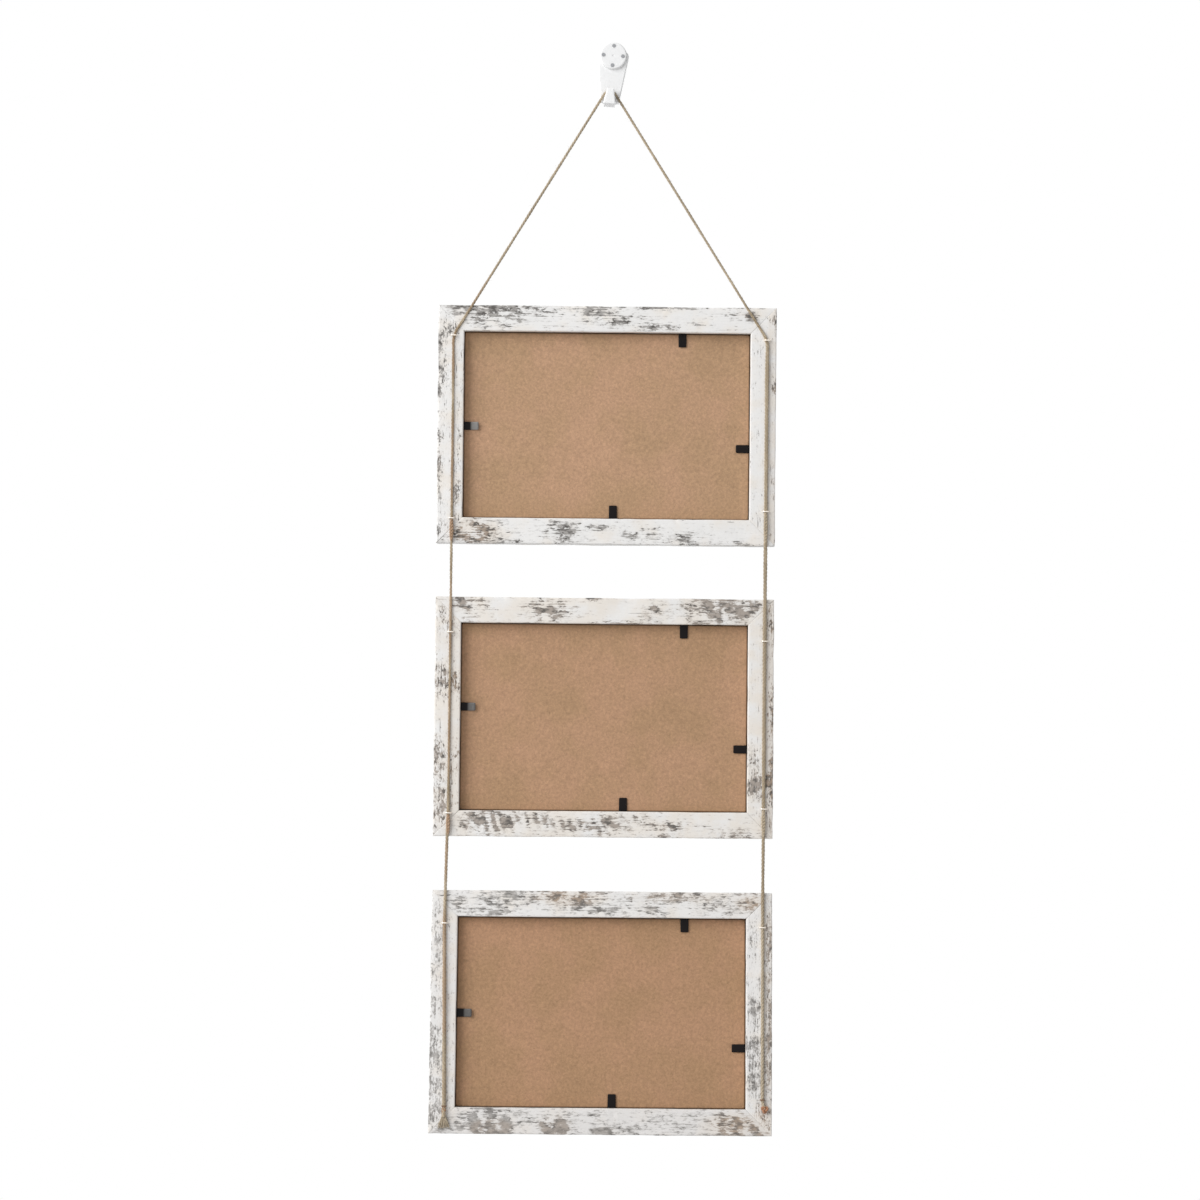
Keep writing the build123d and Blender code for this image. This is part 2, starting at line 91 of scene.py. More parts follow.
# The twine's route in metres: up the left side, over the hook's saddle and down the right side.
TWINE_ROUTE = (
    (-0.08647, -0.04421, -0.58283), (-0.08647, -0.04242, -0.57863),
    (-0.08647, -0.04221, -0.57715), (-0.08647, -0.04090, -0.56764),
    (-0.08763, -0.03004, -0.48888), (-0.08777, -0.02873, -0.47937),
    (-0.08757, -0.02614, -0.46060), (-0.08697, -0.02614, -0.43300),
    (-0.08647, -0.02552, -0.41936), (-0.08647, -0.02507, -0.40978),
    (-0.08647, -0.02140, -0.32976), (-0.08647, -0.02096, -0.32017),
    (-0.08647, -0.02002, -0.29984), (-0.08647, -0.02003, -0.27224),
    (-0.08647, -0.01962, -0.25760), (-0.08647, -0.01936, -0.24800),
    (-0.08647, -0.01711, -0.16643), (-0.08680, -0.01684, -0.15684),
    (-0.08130, -0.01660, -0.14820), (-0.07569, -0.01635, -0.13899),
    (-0.00996, -0.00760, -0.03004), (-0.00615, -0.00709, -0.02372),
    (-0.00387, -0.00679, -0.01995), (0.00050, -0.00679, -0.01995),
    (0.00279, -0.00708, -0.02363), (0.00671, -0.00759, -0.02993),
    (0.07453, -0.01635, -0.13899), (0.08065, -0.01660, -0.14880),
    (0.08670, -0.01687, -0.15793), (0.08633, -0.01714, -0.16753),
    (0.08633, -0.01921, -0.24280), (0.08633, -0.01948, -0.25240),
    (0.08633, -0.02003, -0.27224), (0.08633, -0.02002, -0.29984),
    (0.08633, -0.02112, -0.32377), (0.08633, -0.02156, -0.33336),
    (0.08633, -0.02490, -0.40608), (0.08633, -0.02535, -0.41567),
    (0.08633, -0.02614, -0.43300), (0.08633, -0.02614, -0.46060),
    (0.08633, -0.02887, -0.48036), (0.08633, -0.03018, -0.48987),
    (0.08633, -0.04024, -0.56288), (0.08633, -0.04156, -0.57239),
    (0.08633, -0.04176, -0.57388), (0.08753, -0.04344, -0.57728),
)

# Each frame's wear, how strong its worn patches are, its grime, its yellowing and how hazy its patches are.
# Then the painted shade of its board, darker down the chain as the light falls off, how strongly its left
# tab's tip takes the painted highlight and some scuffs, and the grime and haze that some rails add.
FRAME_AGE = {
    "upper_frame": (0.30, 1.00, 0.0, 0.06, 0.0),
    "middle_frame": (0.30, 0.98, 0.03, 0.45, 0.08),
    "lower_frame": (0.30, 0.92, 0.16, 0.06, 0.42),
}
BOARD_FALLOFF_SHADE = {"upper_frame": 0.1, "middle_frame": 0.55, "lower_frame": 1.0}
TAB_TIP_SCUFF_AND_HIGHLIGHT = {"upper_frame": 1.0, "middle_frame": 0.6, "lower_frame": 0.5}
DULL_RAILS = {("lower_frame", "bottom"): (0.26, 0.0), ("lower_frame", "left"): (0.0, 0.45)}

# Worn patches on each rail's back: place along (-1 to 1, to the right or up), place across (0 rabbet, 1 outer
# edge), spread along, spread across, strength, brown stain.
WORN_PATCHES = {
    ("upper_frame", "top"): (
        (-0.68, 0.88, 0.27, 0.16, 1.25, 0.1), (-0.74, 0.5, 0.3, 0.4, 0.7, 0.1),
        (-0.07, 0.78, 0.1, 0.2, 1.05, 0.0), (0.09, 0.42, 0.13, 0.17, 1.05, 0.0),
        (0.31, 0.17, 0.13, 0.12, 0.9, 0.0), (0.3, 0.98, 0.2, 0.07, 1.1, 0.0),
        (0.52, 0.35, 0.03, 0.06, 0.9, 0.0), (0.84, 0.68, 0.1, 0.18, 0.8, 0.4),
    ),
    ("upper_frame", "right"): (
        (0.33, 0.98, 0.05, 0.1, 0.8, 0.0), (0.66, 0.35, 0.05, 0.12, 0.6, 0.0),
        (-0.87, 0.25, 0.1, 0.3, 0.55, 0.3), (0.9, 0.9, 0.05, 0.15, 0.6, 0.6),
    ),
    ("upper_frame", "bottom"): (
        (-0.98, 0.85, 0.05, 0.25, 1.0, 0.2), (-0.78, 0.55, 0.14, 0.5, 0.85, 0.6),
        (-0.58, 0.88, 0.08, 0.14, 0.6, 0.1), (-0.26, 0.5, 0.11, 0.38, 0.8, 0.1),
        (-0.04, 0.32, 0.1, 0.12, 0.7, 0.0), (0.21, 0.6, 0.11, 0.26, 0.6, 0.0),
        (0.48, 0.76, 0.11, 0.2, 0.85, 0.0), (0.8, 0.95, 0.1, 0.1, 0.5, 0.3),
    ),
    ("upper_frame", "left"): (
        (0.52, 0.92, 0.34, 0.24, 0.85, 0.2), (0.88, 0.6, 0.12, 0.45, 0.65, 0.2),
        (-0.35, 0.92, 0.3, 0.14, 0.6, 0.4), (-0.5, 0.3, 0.2, 0.14, 0.6, 0.2),
        (-0.92, 0.72, 0.1, 0.3, 0.7, 0.3), (0.0, 0.12, 0.9, 0.16, 0.26, 0.8),
    ),
    ("middle_frame", "top"): (
        (-0.82, 0.68, 0.1, 0.4, 0.85, 0.1), (-0.33, 0.5, 0.1, 0.46, 0.9, 0.0),
        (-0.06, 0.97, 0.06, 0.1, 0.6, 0.0), (0.15, 0.05, 0.16, 0.08, 0.55, 0.0),
        (0.3, 0.5, 0.06, 0.38, 0.65, 0.0), (0.64, 0.58, 0.16, 0.48, 1.05, 0.1),
        (0.8, 0.52, 0.11, 0.45, 1.0, 0.4),
    ),
    ("middle_frame", "right"): (
        (0.86, 0.82, 0.16, 0.3, 0.55, 1.0), (0.12, 0.92, 0.18, 0.13, 0.6, 0.1),
        (-0.25, 0.92, 0.16, 0.14, 0.65, 0.1), (-0.42, 0.2, 0.13, 0.25, 0.85, 0.1),
        (-0.57, 0.3, 0.09, 0.3, 0.95, 0.1), (-0.56, 0.86, 0.12, 0.24, 1.15, 0.5),
        (-0.9, 0.6, 0.14, 0.4, 0.5, 0.9),
    ),
    ("middle_frame", "bottom"): (
        (-0.66, 0.38, 0.18, 0.42, 0.98, 0.1), (-0.4, 0.3, 0.11, 0.25, 0.75, 0.0),
        (-0.2, 0.56, 0.13, 0.25, 0.7, 0.0), (0.03, 0.5, 0.12, 0.34, 0.85, 0.0),
        (0.21, 0.2, 0.06, 0.2, 0.6, 0.0), (0.38, 0.55, 0.12, 0.16, 0.85, 0.0),
        (0.38, 0.97, 0.08, 0.1, 0.7, 0.0), (0.82, 0.86, 0.13, 0.16, 0.72, 0.3),
    ),
    ("middle_frame", "left"): (
        (0.85, 0.6, 0.14, 0.45, 0.5, 0.2), (0.3, 0.62, 0.11, 0.45, 0.9, 0.1),
        (-0.34, 0.8, 0.17, 0.25, 0.78, 0.0), (-0.34, 0.15, 0.12, 0.16, 0.5, 0.0),
        (-0.76, 0.72, 0.24, 0.36, 0.75, 0.2),
    ),
    ("lower_frame", "top"): (
        (-0.88, 0.5, 0.1, 0.45, 0.8, 0.1), (-0.62, 0.55, 0.1, 0.24, 1.0, 0.0),
        (-0.5, 0.8, 0.12, 0.25, 0.95, 0.0), (-0.66, 0.22, 0.14, 0.2, 0.85, 0.0),
        (-0.2, 0.75, 0.2, 0.3, 0.72, 0.8), (-0.04, 0.32, 0.16, 0.25, 0.75, 0.1),
        (0.42, 0.8, 0.32, 0.26, 0.72, 0.5), (0.3, 0.3, 0.1, 0.25, 0.65, 0.3),
        (0.7, 0.4, 0.16, 0.3, 0.55, 0.4), (0.89, 0.65, 0.1, 0.35, 0.7, 0.9),
    ),
    ("lower_frame", "right"): (
        (0.58, 0.88, 0.34, 0.16, 0.62, 0.2), (0.6, 0.2, 0.2, 0.2, 0.52, 0.1),
        (0.05, 0.36, 0.15, 0.24, 0.88, 0.1), (0.0, 0.92, 0.24, 0.15, 0.58, 0.1),
        (-0.32, 0.3, 0.15, 0.26, 0.9, 0.1), (-0.34, 0.88, 0.18, 0.2, 0.98, 0.2),
        (-0.58, 0.4, 0.1, 0.4, 0.8, 0.2), (-0.9, 0.6, 0.14, 0.4, 0.7, 0.7),
    ),
    ("lower_frame", "bottom"): (
        (-0.636, 0.78, 0.1, 0.28, 1.45, 0.45), (-0.26, 0.68, 0.08, 0.32, 1.45, 0.45),
        (0.015, 0.88, 0.08, 0.16, 1.2, 0.3), (-0.66, 0.35, 0.18, 0.4, 0.88, 0.1),
        (0.0, 0.5, 1.0, 0.8, 0.28, 0.0), (-0.93, 0.6, 0.1, 0.4, 0.9, 0.1),
        (0.22, 0.78, 0.12, 0.2, 0.6, 0.1), (0.8, 0.57, 0.16, 0.45, 0.75, 0.8),
        (0.945, 0.7, 0.06, 0.4, 0.8, 0.6),
    ),
    ("lower_frame", "left"): (
        (0.55, 0.76, 0.4, 0.26, 0.48, 0.1), (-0.1, 0.82, 0.26, 0.2, 0.5, 0.0),
        (-0.5, 0.76, 0.32, 0.3, 0.66, 0.1), (-0.9, 0.62, 0.14, 0.42, 0.8, 0.1),
    ),
}


def length_prop(name, description, default):
    """A length in metres that the panel shows."""
    return bpy.props.FloatProperty(
        name=name, description=description, default=default, unit="LENGTH", precision=5
    )


def colour_prop(name, description, default):
    """A linear colour that the panel shows."""
    return bpy.props.FloatVectorProperty(
        name=name, description=description, default=default, subtype="COLOR", size=3, min=0, max=1
    )


class FrameSizes(bpy.types.PropertyGroup):
    """Sizes of one frame, of its boards and of its metal."""

    outer_width: length_prop("Outer width", "Width of a frame over its stiles", 0.1864)
    outer_height: length_prop("Outer height", "Height of a frame over its rails", 0.1314)
    moulding_width: length_prop("Moulding width", "Rabbet wall to outer edge", 0.0142)
    moulding_depth: length_prop("Moulding depth", "Back to front", 0.015)
    lip_width: length_prop("Lip width", "How far the lip covers the glass", 0.0055)
    lip_seat: length_prop("Lip seat", "Depth of the lip's seat from the back", 0.0105)
    lip_bevel: length_prop("Lip bevel", "Bevel of the lip at the front", 0.002)
    edge_radius: length_prop("Edge radius", "Rounding of the worn edges", 0.0007)
    board_back: length_prop("Board depth", "Board's back face, from the frame's back", 0.0052)
    board_thickness: length_prop("Board thickness", "Thickness of the backing", 0.003)
    board_play: length_prop("Board play", "Gap between board and rabbet wall", 0.0002)
    tab_width: length_prop("Tab width", "Width of a bent tab", 0.0045)
    tab_reach: length_prop("Tab reach", "How far a tab stands out of the rabbet wall", 0.0075)
    tab_thickness: length_prop("Tab thickness", "Thickness of a bent tab", 0.0006)
    tab_middle: length_prop("Tab depth", "Middle of a tab, from the frame's back", 0.0047)
    staple_span: length_prop("Staple span", "Outer width of a staple's crown", 0.0035)
    staple_width: length_prop("Staple wire width", "Width of the flat wire", 0.0007)
    staple_thickness: length_prop("Staple wire thickness", "Thickness of the flat wire", 0.0005)
    staple_crown: length_prop("Staple crown", "Height of the crown's middle over the wood", 0.00195)


class TwineSizes(bpy.types.PropertyGroup):
    """Sizes of the jute twine."""

    diameter: length_prop("Diameter", "Twine over its three strands", 0.0016)
    lay: length_prop("Lay", "Length of one turn of the strands", 0.0062)
    fuzz_length: length_prop("Fuzz length", "Longest loose fibre", 0.0030)
    fuzz_per_metre: bpy.props.IntProperty(
        name="Fuzz per metre", description="Loose fibres on a metre of twine", default=1500, min=0
    )


class Finishes(bpy.types.PropertyGroup):
    """Colours of the finishes."""

    paint: colour_prop("Paint", "White paint of the frames", (0.845, 0.836, 0.824))
    paint_warm: colour_prop("Yellowed paint", "Paint where it has yellowed", (0.800, 0.742, 0.670))
    # Grey of paint dulled by grime, and of the painted shade beside the twine.
    paint_dull_and_shaded: colour_prop("Dull paint", "Paint dulled by handling", (0.640, 0.605, 0.585))
    fleck_grey: colour_prop("Grey wood", "Weathered wood under thin paint", (0.370, 0.352, 0.335))
    fleck_dark: colour_prop("Dark wood", "Darkest spots of bare wood", (0.068, 0.061, 0.054))
    fleck_brown: colour_prop("Brown wood", "Stained bare wood", (0.360, 0.270, 0.200))
    raw_wood: colour_prop("Rabbet wood", "Unpainted wood in the rabbet", (0.330, 0.225, 0.140))
    board: colour_prop("Board", "Brown fibreboard", (0.510, 0.300, 0.198))
    board_olive: colour_prop("Board, olive", "Cooler specks of the board", (0.450, 0.296, 0.160))
    # What the lower boards are multiplied by: painted shade, darker down the chain as the light falls off.
    board_falloff_tint: colour_prop("Board, aged", "What an aged board is multiplied by", (0.870, 0.825, 0.780))
    # Dark brown of the board's specks, and of the painted shade along its rim where it meets the frame.
    board_specks_and_rim_shade: colour_prop("Board rim", "Dark rim of the board", (0.110, 0.062, 0.036))
    tab: colour_prop("Tab", "Black lacquer of the tabs", (0.006, 0.004, 0.004))
    # Grey of the tabs' scuffs, and of the painted highlight on the left tabs' lifted tips.
    tab_scuff_and_glint: colour_prop("Scuffed tab", "Lacquer rubbed to grey", (0.330, 0.322, 0.310))
    staple: colour_prop("Staple", "Coated staple wire", (0.870, 0.800, 0.715))
    staple_dull: colour_prop("Staple, tarnished", "Wire gone brown", (0.215, 0.125, 0.075))
    steel: colour_prop("Steel", "Bare steel of nails and pins", (0.330, 0.335, 0.350))
    twine_dark: colour_prop("Twine, dark", "Shaded fibres", (0.185, 0.138, 0.086))
    twine_tan: colour_prop("Twine", "Jute fibres", (0.405, 0.318, 0.212))
    twine_pale: colour_prop("Twine, pale", "Dry loose fibres", (0.570, 0.490, 0.372))
    twine_red: colour_prop("Twine, reddish", "Rubbed knots", (0.390, 0.165, 0.082))
    hook: colour_prop("Hook", "White moulded plastic", (0.905, 0.907, 0.910))
    hook_grime: colour_prop("Hook, handled", "Slightly greyed plastic", (0.850, 0.852, 0.854))
    paper: colour_prop("Paper", "Bare photo paper", (0.780, 0.775, 0.760))
    glass: colour_prop("Glass", "Clear sheet in front", (0.970, 0.985, 0.980))
    floor: colour_prop("Floor", "Pale floor", (0.800, 0.800, 0.800))


class StageSettings(bpy.types.PropertyGroup):
    """Camera, lights and floor."""

    camera_place: bpy.props.FloatVectorProperty(
        name="Camera", description="Where the camera stands", default=(-0.01296, -1.6, -0.29992),
        subtype="TRANSLATION", size=3,
    )
    camera_yaw: bpy.props.FloatProperty(
        name="Yaw", description="Camera turned to the right", default=np.radians(0.310), subtype="ANGLE"
    )
    camera_pitch: bpy.props.FloatProperty(
        name="Pitch", description="Camera turned up", default=np.radians(-0.073), subtype="ANGLE"
    )
    camera_roll: bpy.props.FloatProperty(
        name="Roll", description="Camera turned about its view", default=np.radians(0.572), subtype="ANGLE"
    )
    lens: bpy.props.FloatProperty(
        name="Lens", description="Focal length on a 36 mm sensor, in mm", default=86.188, min=1
    )
    floor_height: length_prop("Floor height", "Height of the floor under the hook", -0.9)
    fill: bpy.props.FloatProperty(
        name="Fill", description="Even light from all round", default=0.45, min=0
    )
    key_power: bpy.props.FloatProperty(
        name="Key light", description="Power of the soft light from the upper left", default=77.0,
        unit="POWER",
    )


def unit(vectors):
    """Each vector divided by its length."""
    return vectors / np.linalg.norm(vectors, axis=-1, keepdims=True)


def smooth_step(value, low, high):
    """Rises from 0 at low to 1 at high along t t (3 - 2 t)."""
    t = np.clip((value - low) / (high - low), 0, 1)
    return t * t * (3 - 2 * t)


def bell(value, width):
    """Falls away from 1 at zero along exp(-(value / width)^2)."""
    return np.exp(-((value / width) ** 2))


def round_angles(count):
    """Evenly spaced angles of one turn."""
    return np.linspace(0, TURN, count, endpoint=False)


def squarish(wave, power):
    """A sine or cosine drawn towards a square wave: its sign times its size to a power below 1."""
    return np.sign(wave) * np.abs(wave) ** power


def distance_along(line):
    """Distance of each point from the start of its line."""
    steps = np.linalg.norm(np.diff(line, axis=-2), axis=-1)
    return np.concatenate([np.zeros_like(steps[..., :1]), np.cumsum(steps, axis=-1)], axis=-1)


def soft_noise(seed, along, across, longest, shortest, waves=10):
    """Seeded smooth noise round 0, spread about 1: a sum of sines of random length, heading and phase."""
    draw = np.random.default_rng(seed)
    spans = np.exp(draw.uniform(np.log(shortest), np.log(longest), waves))
    headings = draw.uniform(0, np.pi, waves)
    phases = draw.uniform(0, TURN, waves)
    path = along[..., None] * np.cos(headings) + across[..., None] * np.sin(headings)
    return np.sin(TURN * path / spans + phases).sum(-1) / np.sqrt(waves / 2)


def swept_faces(tubes, rings, sides):
    """Quads between the rings of each tube, and one face across each of its two ends."""
    tube, ring, side = np.meshgrid(np.arange(tubes), np.arange(rings - 1), np.arange(sides), indexing="ij")
    here = (tube * rings + ring) * sides
    after = (side + 1) % sides
    quads = np.stack([here + side, here + after, here + sides + after, here + sides + side], axis=-1)
    first = np.arange(tubes)[:, None] * rings * sides
    start = first + np.arange(sides)[::-1]
    end = first + (rings - 1) * sides + np.arange(sides)
    return [quads.reshape(-1, 4), start, end]


def enclosed_volume(points, faces):
    """Signed volume: a sixth of the sum of p0 . (p1 x p2) over the triangles of each face."""
    total = 0.0
    for group in faces:
        for corner in range(1, group.shape[1] - 1):
            p0, p1, p2 = points[group[:, 0]], points[group[:, corner]], points[group[:, corner + 1]]
            total += np.einsum("ij,ij->", p0, np.cross(p1, p2))
    return total / 6


def make_piece(name, points, finish, **attributes):
    """Puts swept tubes, rings by sides by 3 or many such, into a mesh at the origin, faces turned outwards.

    An attribute gives every point a number or a vector, or one number to all of them.
    """
    faces = swept_faces(*points.reshape(-1, *points.shape[-3:]).shape[:3])
    points = points.reshape(-1, 3)
    if enclosed_volume(points - points.mean(0), faces) < 0:
        faces = [group[:, ::-1] for group in faces]
    corners = np.concatenate([group.ravel() for group in faces])
    sizes = np.concatenate([np.full(len(group), group.shape[1]) for group in faces])
    starts = np.concatenate([[0], np.cumsum(sizes)[:-1]])
    mesh = bpy.data.meshes.new(name)
    mesh.vertices.add(len(points))
    mesh.vertices.foreach_set("co", points.astype(np.float32).ravel())
    mesh.loops.add(len(corners))
    mesh.loops.foreach_set("vertex_index", corners.astype(np.int32))
    mesh.polygons.add(len(sizes))
    mesh.polygons.foreach_set("loop_start", starts.astype(np.int32))
    mesh.polygons.foreach_set("use_smooth", np.ones(len(sizes), bool))
    for label, values in attributes.items():
        values = np.asarray(values, np.float32)
        if values.ndim == 0:
            values = np.full(len(points), values)
        kind, field = ("FLOAT_VECTOR", "vector") if values.size > len(points) else ("FLOAT", "value")
        mesh.attributes.new(label, kind, "POINT").data.foreach_set(field, values.ravel())
    mesh.update(calc_edges=True)
    if mesh.validate():
        raise RuntimeError(f"{name}: the mesh had faults")
    mesh.materials.append(finished(finish))
    piece = bpy.data.objects.new(name, mesh)
    bpy.context.scene.collection.objects.link(piece)
    return piece


def stand_for(piece, body, node):
    """Makes a piece move with a body and stand for a CAD node, which it hides."""
    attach(piece, body)
    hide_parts(node)


def opening(sizes):
    """Half the width and half the height between the rabbet walls."""
    return sizes.outer_width / 2 - sizes.moulding_width, sizes.outer_height / 2 - sizes.moulding_width


def frame_to_world(name, points):
    """Places points given in a frame's axes: right of its middle, in from its back, up from its middle."""
    up = PIVOTS[f"{name}_tab_top_bend"] - PIVOTS[f"{name}_tab_bottom_bend"]
    up[0] = 0
    up = unit(up)
    right = np.array([1.0, 0.0, 0.0])
    axes = np.stack([right, np.cross(up, right), up])
    height = bpy.context.scene.trio_sizes.outer_height
    pivot_here = np.array([0.0, -TWINE_LIFT, height / 2 + PIVOT_OUT])
    return PIVOTS[f"{name}_swing"] + (points - pivot_here) @ axes


class NodeBench:
    """Adds nodes to one tree, with a value or another node's socket for each input."""

    def __init__(self, tree):
        self.tree = tree

    def feed(self, socket, value):
        """Sets an input or links it; a colour of three numbers is opaque."""
        if isinstance(value, bpy.types.NodeSocket):
            self.tree.links.new(value, socket)
        elif socket.type == "RGBA" and len(value) == 3:
            socket.default_value = (*value, 1)
        else:
            socket.default_value = value

    def add(self, kind, inputs=None, **settings):
        """A new node with its inputs and settings."""
        node = self.tree.nodes.new(kind)
        for key, value in settings.items():
            setattr(node, key, value)
        for key, value in (inputs or {}).items():
            self.feed(node.inputs[key], value)
        return node

    def math(self, operation, *values):
        """One sum, product or the like."""
        return self.add("ShaderNodeMath", dict(enumerate(values)), operation=operation).outputs[0]

    def gain(self, value, by, plus=0.0):
        """A value times one number, plus another."""
        return self.math("MULTIPLY_ADD", value, by, plus)

    def mix(self, factor, first, second, blend="MIX"):
        """Two colours mixed."""
        inputs = {0: factor, 6: first, 7: second}
        return self.add("ShaderNodeMix", inputs, data_type="RGBA", blend_type=blend).outputs[2]

    def tint(self, colour, value):
        """A colour made lighter or darker: colour times value."""
        grey = self.add("ShaderNodeCombineXYZ", {0: value, 1: value, 2: value}).outputs[0]
        return self.mix(1.0, colour, grey, "MULTIPLY")

    def ramp(self, value, low, high, start=0.0, end=1.0):
        """A smooth step from start to end while the value goes from low to high."""
        inputs = {"Value": value, "From Min": low, "From Max": high, "To Min": start, "To Max": end}
        return self.add("ShaderNodeMapRange", inputs, interpolation_type="SMOOTHSTEP").outputs["Result"]

    def noise(self, place, scale, detail=3.0, rough=0.55, bent=0.0):
        """Soft noise round a half."""
        inputs = {"Vector": place, "Scale": scale, "Detail": detail, "Roughness": rough, "Distortion": bent}
        return self.add("ShaderNodeTexNoise", inputs).outputs["Fac"]

    def stretch(self, place, scale, shift=(0, 0, 0)):
        """A place scaled along each axis and shifted."""
        return self.add("ShaderNodeMapping", {"Vector": place, "Scale": scale, "Location": shift}).outputs[0]

    def attribute(self, name, output="Fac"):
        """What the mesh's points carry under a name."""
        return self.add("ShaderNodeAttribute", attribute_name=name).outputs[output]

    def object_place(self):
        """The place on the piece, in metres."""
        return self.add("ShaderNodeTexCoord").outputs["Object"]

    def group(self, name, **inputs):
        """What a shared effect puts out for these inputs."""
        named = {key.capitalize(): value for key, value in inputs.items()}
        return self.add("ShaderNodeGroup", named, node_tree=shared_group(name)).outputs

    def bump(self, height, strength, distance):
        """The normal of a surface with this relief."""
        inputs = {"Height": height, "Strength": strength, "Distance": distance}
        return self.add("ShaderNodeBump", inputs).outputs["Normal"]


def tone_mottle(n, entry):
    """Tone that wanders round 1: broad clouds and fine grain added in equal parts."""
    clouds = n.noise(entry["Place"], entry["Broad"])
    grain = n.noise(entry["Place"], entry["Fine"], detail=4.0, rough=0.65)
    both = n.math("SUBTRACT", n.math("ADD", clouds, grain), 1.0)
    return {"Tone": n.gain(both, entry["Spread"], 1.0), "Clouds": clouds, "Grain": grain}


def rubbed_marks(n, entry):
    """Scattered rubbed marks: stretched noise cut off by the amount of rubbing."""
    place = n.stretch(entry["Place"], (1.0, 3.0, 0.35))
    marks = n.noise(place, entry["Scale"], detail=4.0, rough=0.6, bent=0.4)
    limit = n.gain(entry["Amount"], -0.36, 0.76)
    return {"Mask": n.ramp(n.math("SUBTRACT", marks, limit), 0.0, 0.07)}


def flaked_streaks(n, entry):
    """Paint worn to a lace of specks with a few long scratches.

    Specks are where fine specks, blots and lines, three stretched noises, add up to more than a limit that
    falls with the wear. Scratches are where the lines alone do.
    """
    place = entry["Place"]
    specks = n.noise(n.stretch(place, (420, 1100, 1)), 1.0, detail=2.0, rough=0.6, bent=0.3)
    blots = n.noise(n.stretch(place, (150, 430, 1), (3, 5, 7)), 1.0, rough=0.62, bent=0.7)
    lines = n.noise(n.stretch(place, (55, 1150, 1), (9, 2, 4)), 1.0, detail=2.0, rough=0.5, bent=0.2)
    lace = n.gain(lines, 0.26, n.gain(blots, 0.32, n.gain(specks, 0.42)))
    over = n.math("SUBTRACT", lace, n.gain(entry["Wear"], -0.20, 0.68))
    scratch = n.math("SUBTRACT", lines, n.gain(entry["Wear"], -0.15, 0.76))
    return {
        "Bare": n.math("MAXIMUM", n.ramp(over, 0.0, 0.045), n.ramp(scratch, 0.0, 0.05)),
        "Thin": n.ramp(over, -0.08, 0.03),
        "Tone": n.noise(n.stretch(place, (260, 520, 1), (1, 2, 3)), 1.0),
    }


def drawn_lines(n, entry):
    """Fine lines along a surface: noise stretched far along the first axis."""
    scale = n.add("ShaderNodeCombineXYZ", {0: entry["Along"], 1: entry["Across"], 2: 1.0}).outputs[0]
    place = n.add("ShaderNodeVectorMath", {0: entry["Place"], 1: scale}, operation="MULTIPLY").outputs[0]
    return {"Lines": n.noise(place, 1.0, detail=4.0, rough=0.6, bent=0.2)}


# Each shared effect, the numbers that it takes besides the place, and what it puts out.
SHARED_GROUPS = {
    "tone_mottle": (tone_mottle, ("Broad", "Fine", "Spread"), ("Tone", "Clouds", "Grain")),
    "rubbed_marks": (rubbed_marks, ("Scale", "Amount"), ("Mask",)),
    "flaked_streaks": (flaked_streaks, ("Wear",), ("Bare", "Thin", "Tone")),
    "drawn_lines": (drawn_lines, ("Along", "Across"), ("Lines",)),
}


def shared_group(name):
    """The named node group, built the first time it is asked for."""
    if name in bpy.data.node_groups:
        return bpy.data.node_groups[name]
    make, inputs, outputs = SHARED_GROUPS[name]
    tree = bpy.data.node_groups.new(name, "ShaderNodeTree")
    tree.interface.new_socket("Place", in_out="INPUT", socket_type="NodeSocketVector")
    for label in inputs:
        tree.interface.new_socket(label, in_out="INPUT", socket_type="NodeSocketFloat")
    for label in outputs:
        tree.interface.new_socket(label, in_out="OUTPUT", socket_type="NodeSocketFloat")
    n = NodeBench(tree)
    leave = tree.nodes.new("NodeGroupOutput").inputs
    for label, value in make(n, tree.nodes.new("NodeGroupInput").outputs).items():
        n.feed(leave[label], value)
    return tree


def worn_white_paint(n, looks):
    """White paint over wood: worn to specks, yellowed in clouds, dulled by grime and greyed beside the twine
    as painted shade, bare in the rabbet.
    """
    grain = n.attribute("grain", "Vector")
    stain = n.attribute("stain")
    haze = n.attribute("haze")
    flakes = n.group("flaked_streaks", place=grain, wear=n.attribute("wear"))
    clouds = n.group("tone_mottle", place=grain, broad=70.0, fine=700.0, spread=0.09)
    brush = n.group("drawn_lines", place=grain, along=22.0, across=1900.0)["Lines"]
    yellowed = n.ramp(n.gain(stain, 0.35, clouds["Clouds"]), 0.46, 0.80)
    paint = n.mix(n.gain(yellowed, 0.80), looks.paint, looks.paint_warm)
    # Grime, and the painted shade of the twine on the strips to its right, grey the paint.
    paint = n.mix(n.attribute("grime_and_twine_shade"), paint, looks.paint_dull_and_shaded)
    paint = n.tint(paint, n.gain(n.math("SUBTRACT", brush, 0.5), 0.08, clouds["Tone"]))
    grey = n.mix(n.ramp(stain, 0.15, 0.8), looks.fleck_grey, looks.fleck_brown)
    wood = n.mix(n.ramp(flakes["Tone"], 0.40, 0.64), grey, looks.fleck_dark)
    worn = n.mix(n.gain(flakes["Thin"], n.gain(haze, 0.38, 0.42)), paint, grey)
    worn = n.mix(n.gain(flakes["Bare"], n.gain(haze, -0.36, 0.94)), worn, wood)
    rabbet = n.mix(brush, looks.raw_wood, looks.fleck_dark)
    height = n.gain(flakes["Thin"], -1.0, n.gain(brush, 0.35))
    return {
        "Base Color": n.mix(n.attribute("raw"), worn, rabbet),
        "Roughness": n.gain(clouds["Grain"], 0.12, n.gain(flakes["Bare"], 0.28, 0.50)),
        "Normal": n.bump(height, strength=0.45, distance=0.16 * MM),
    }


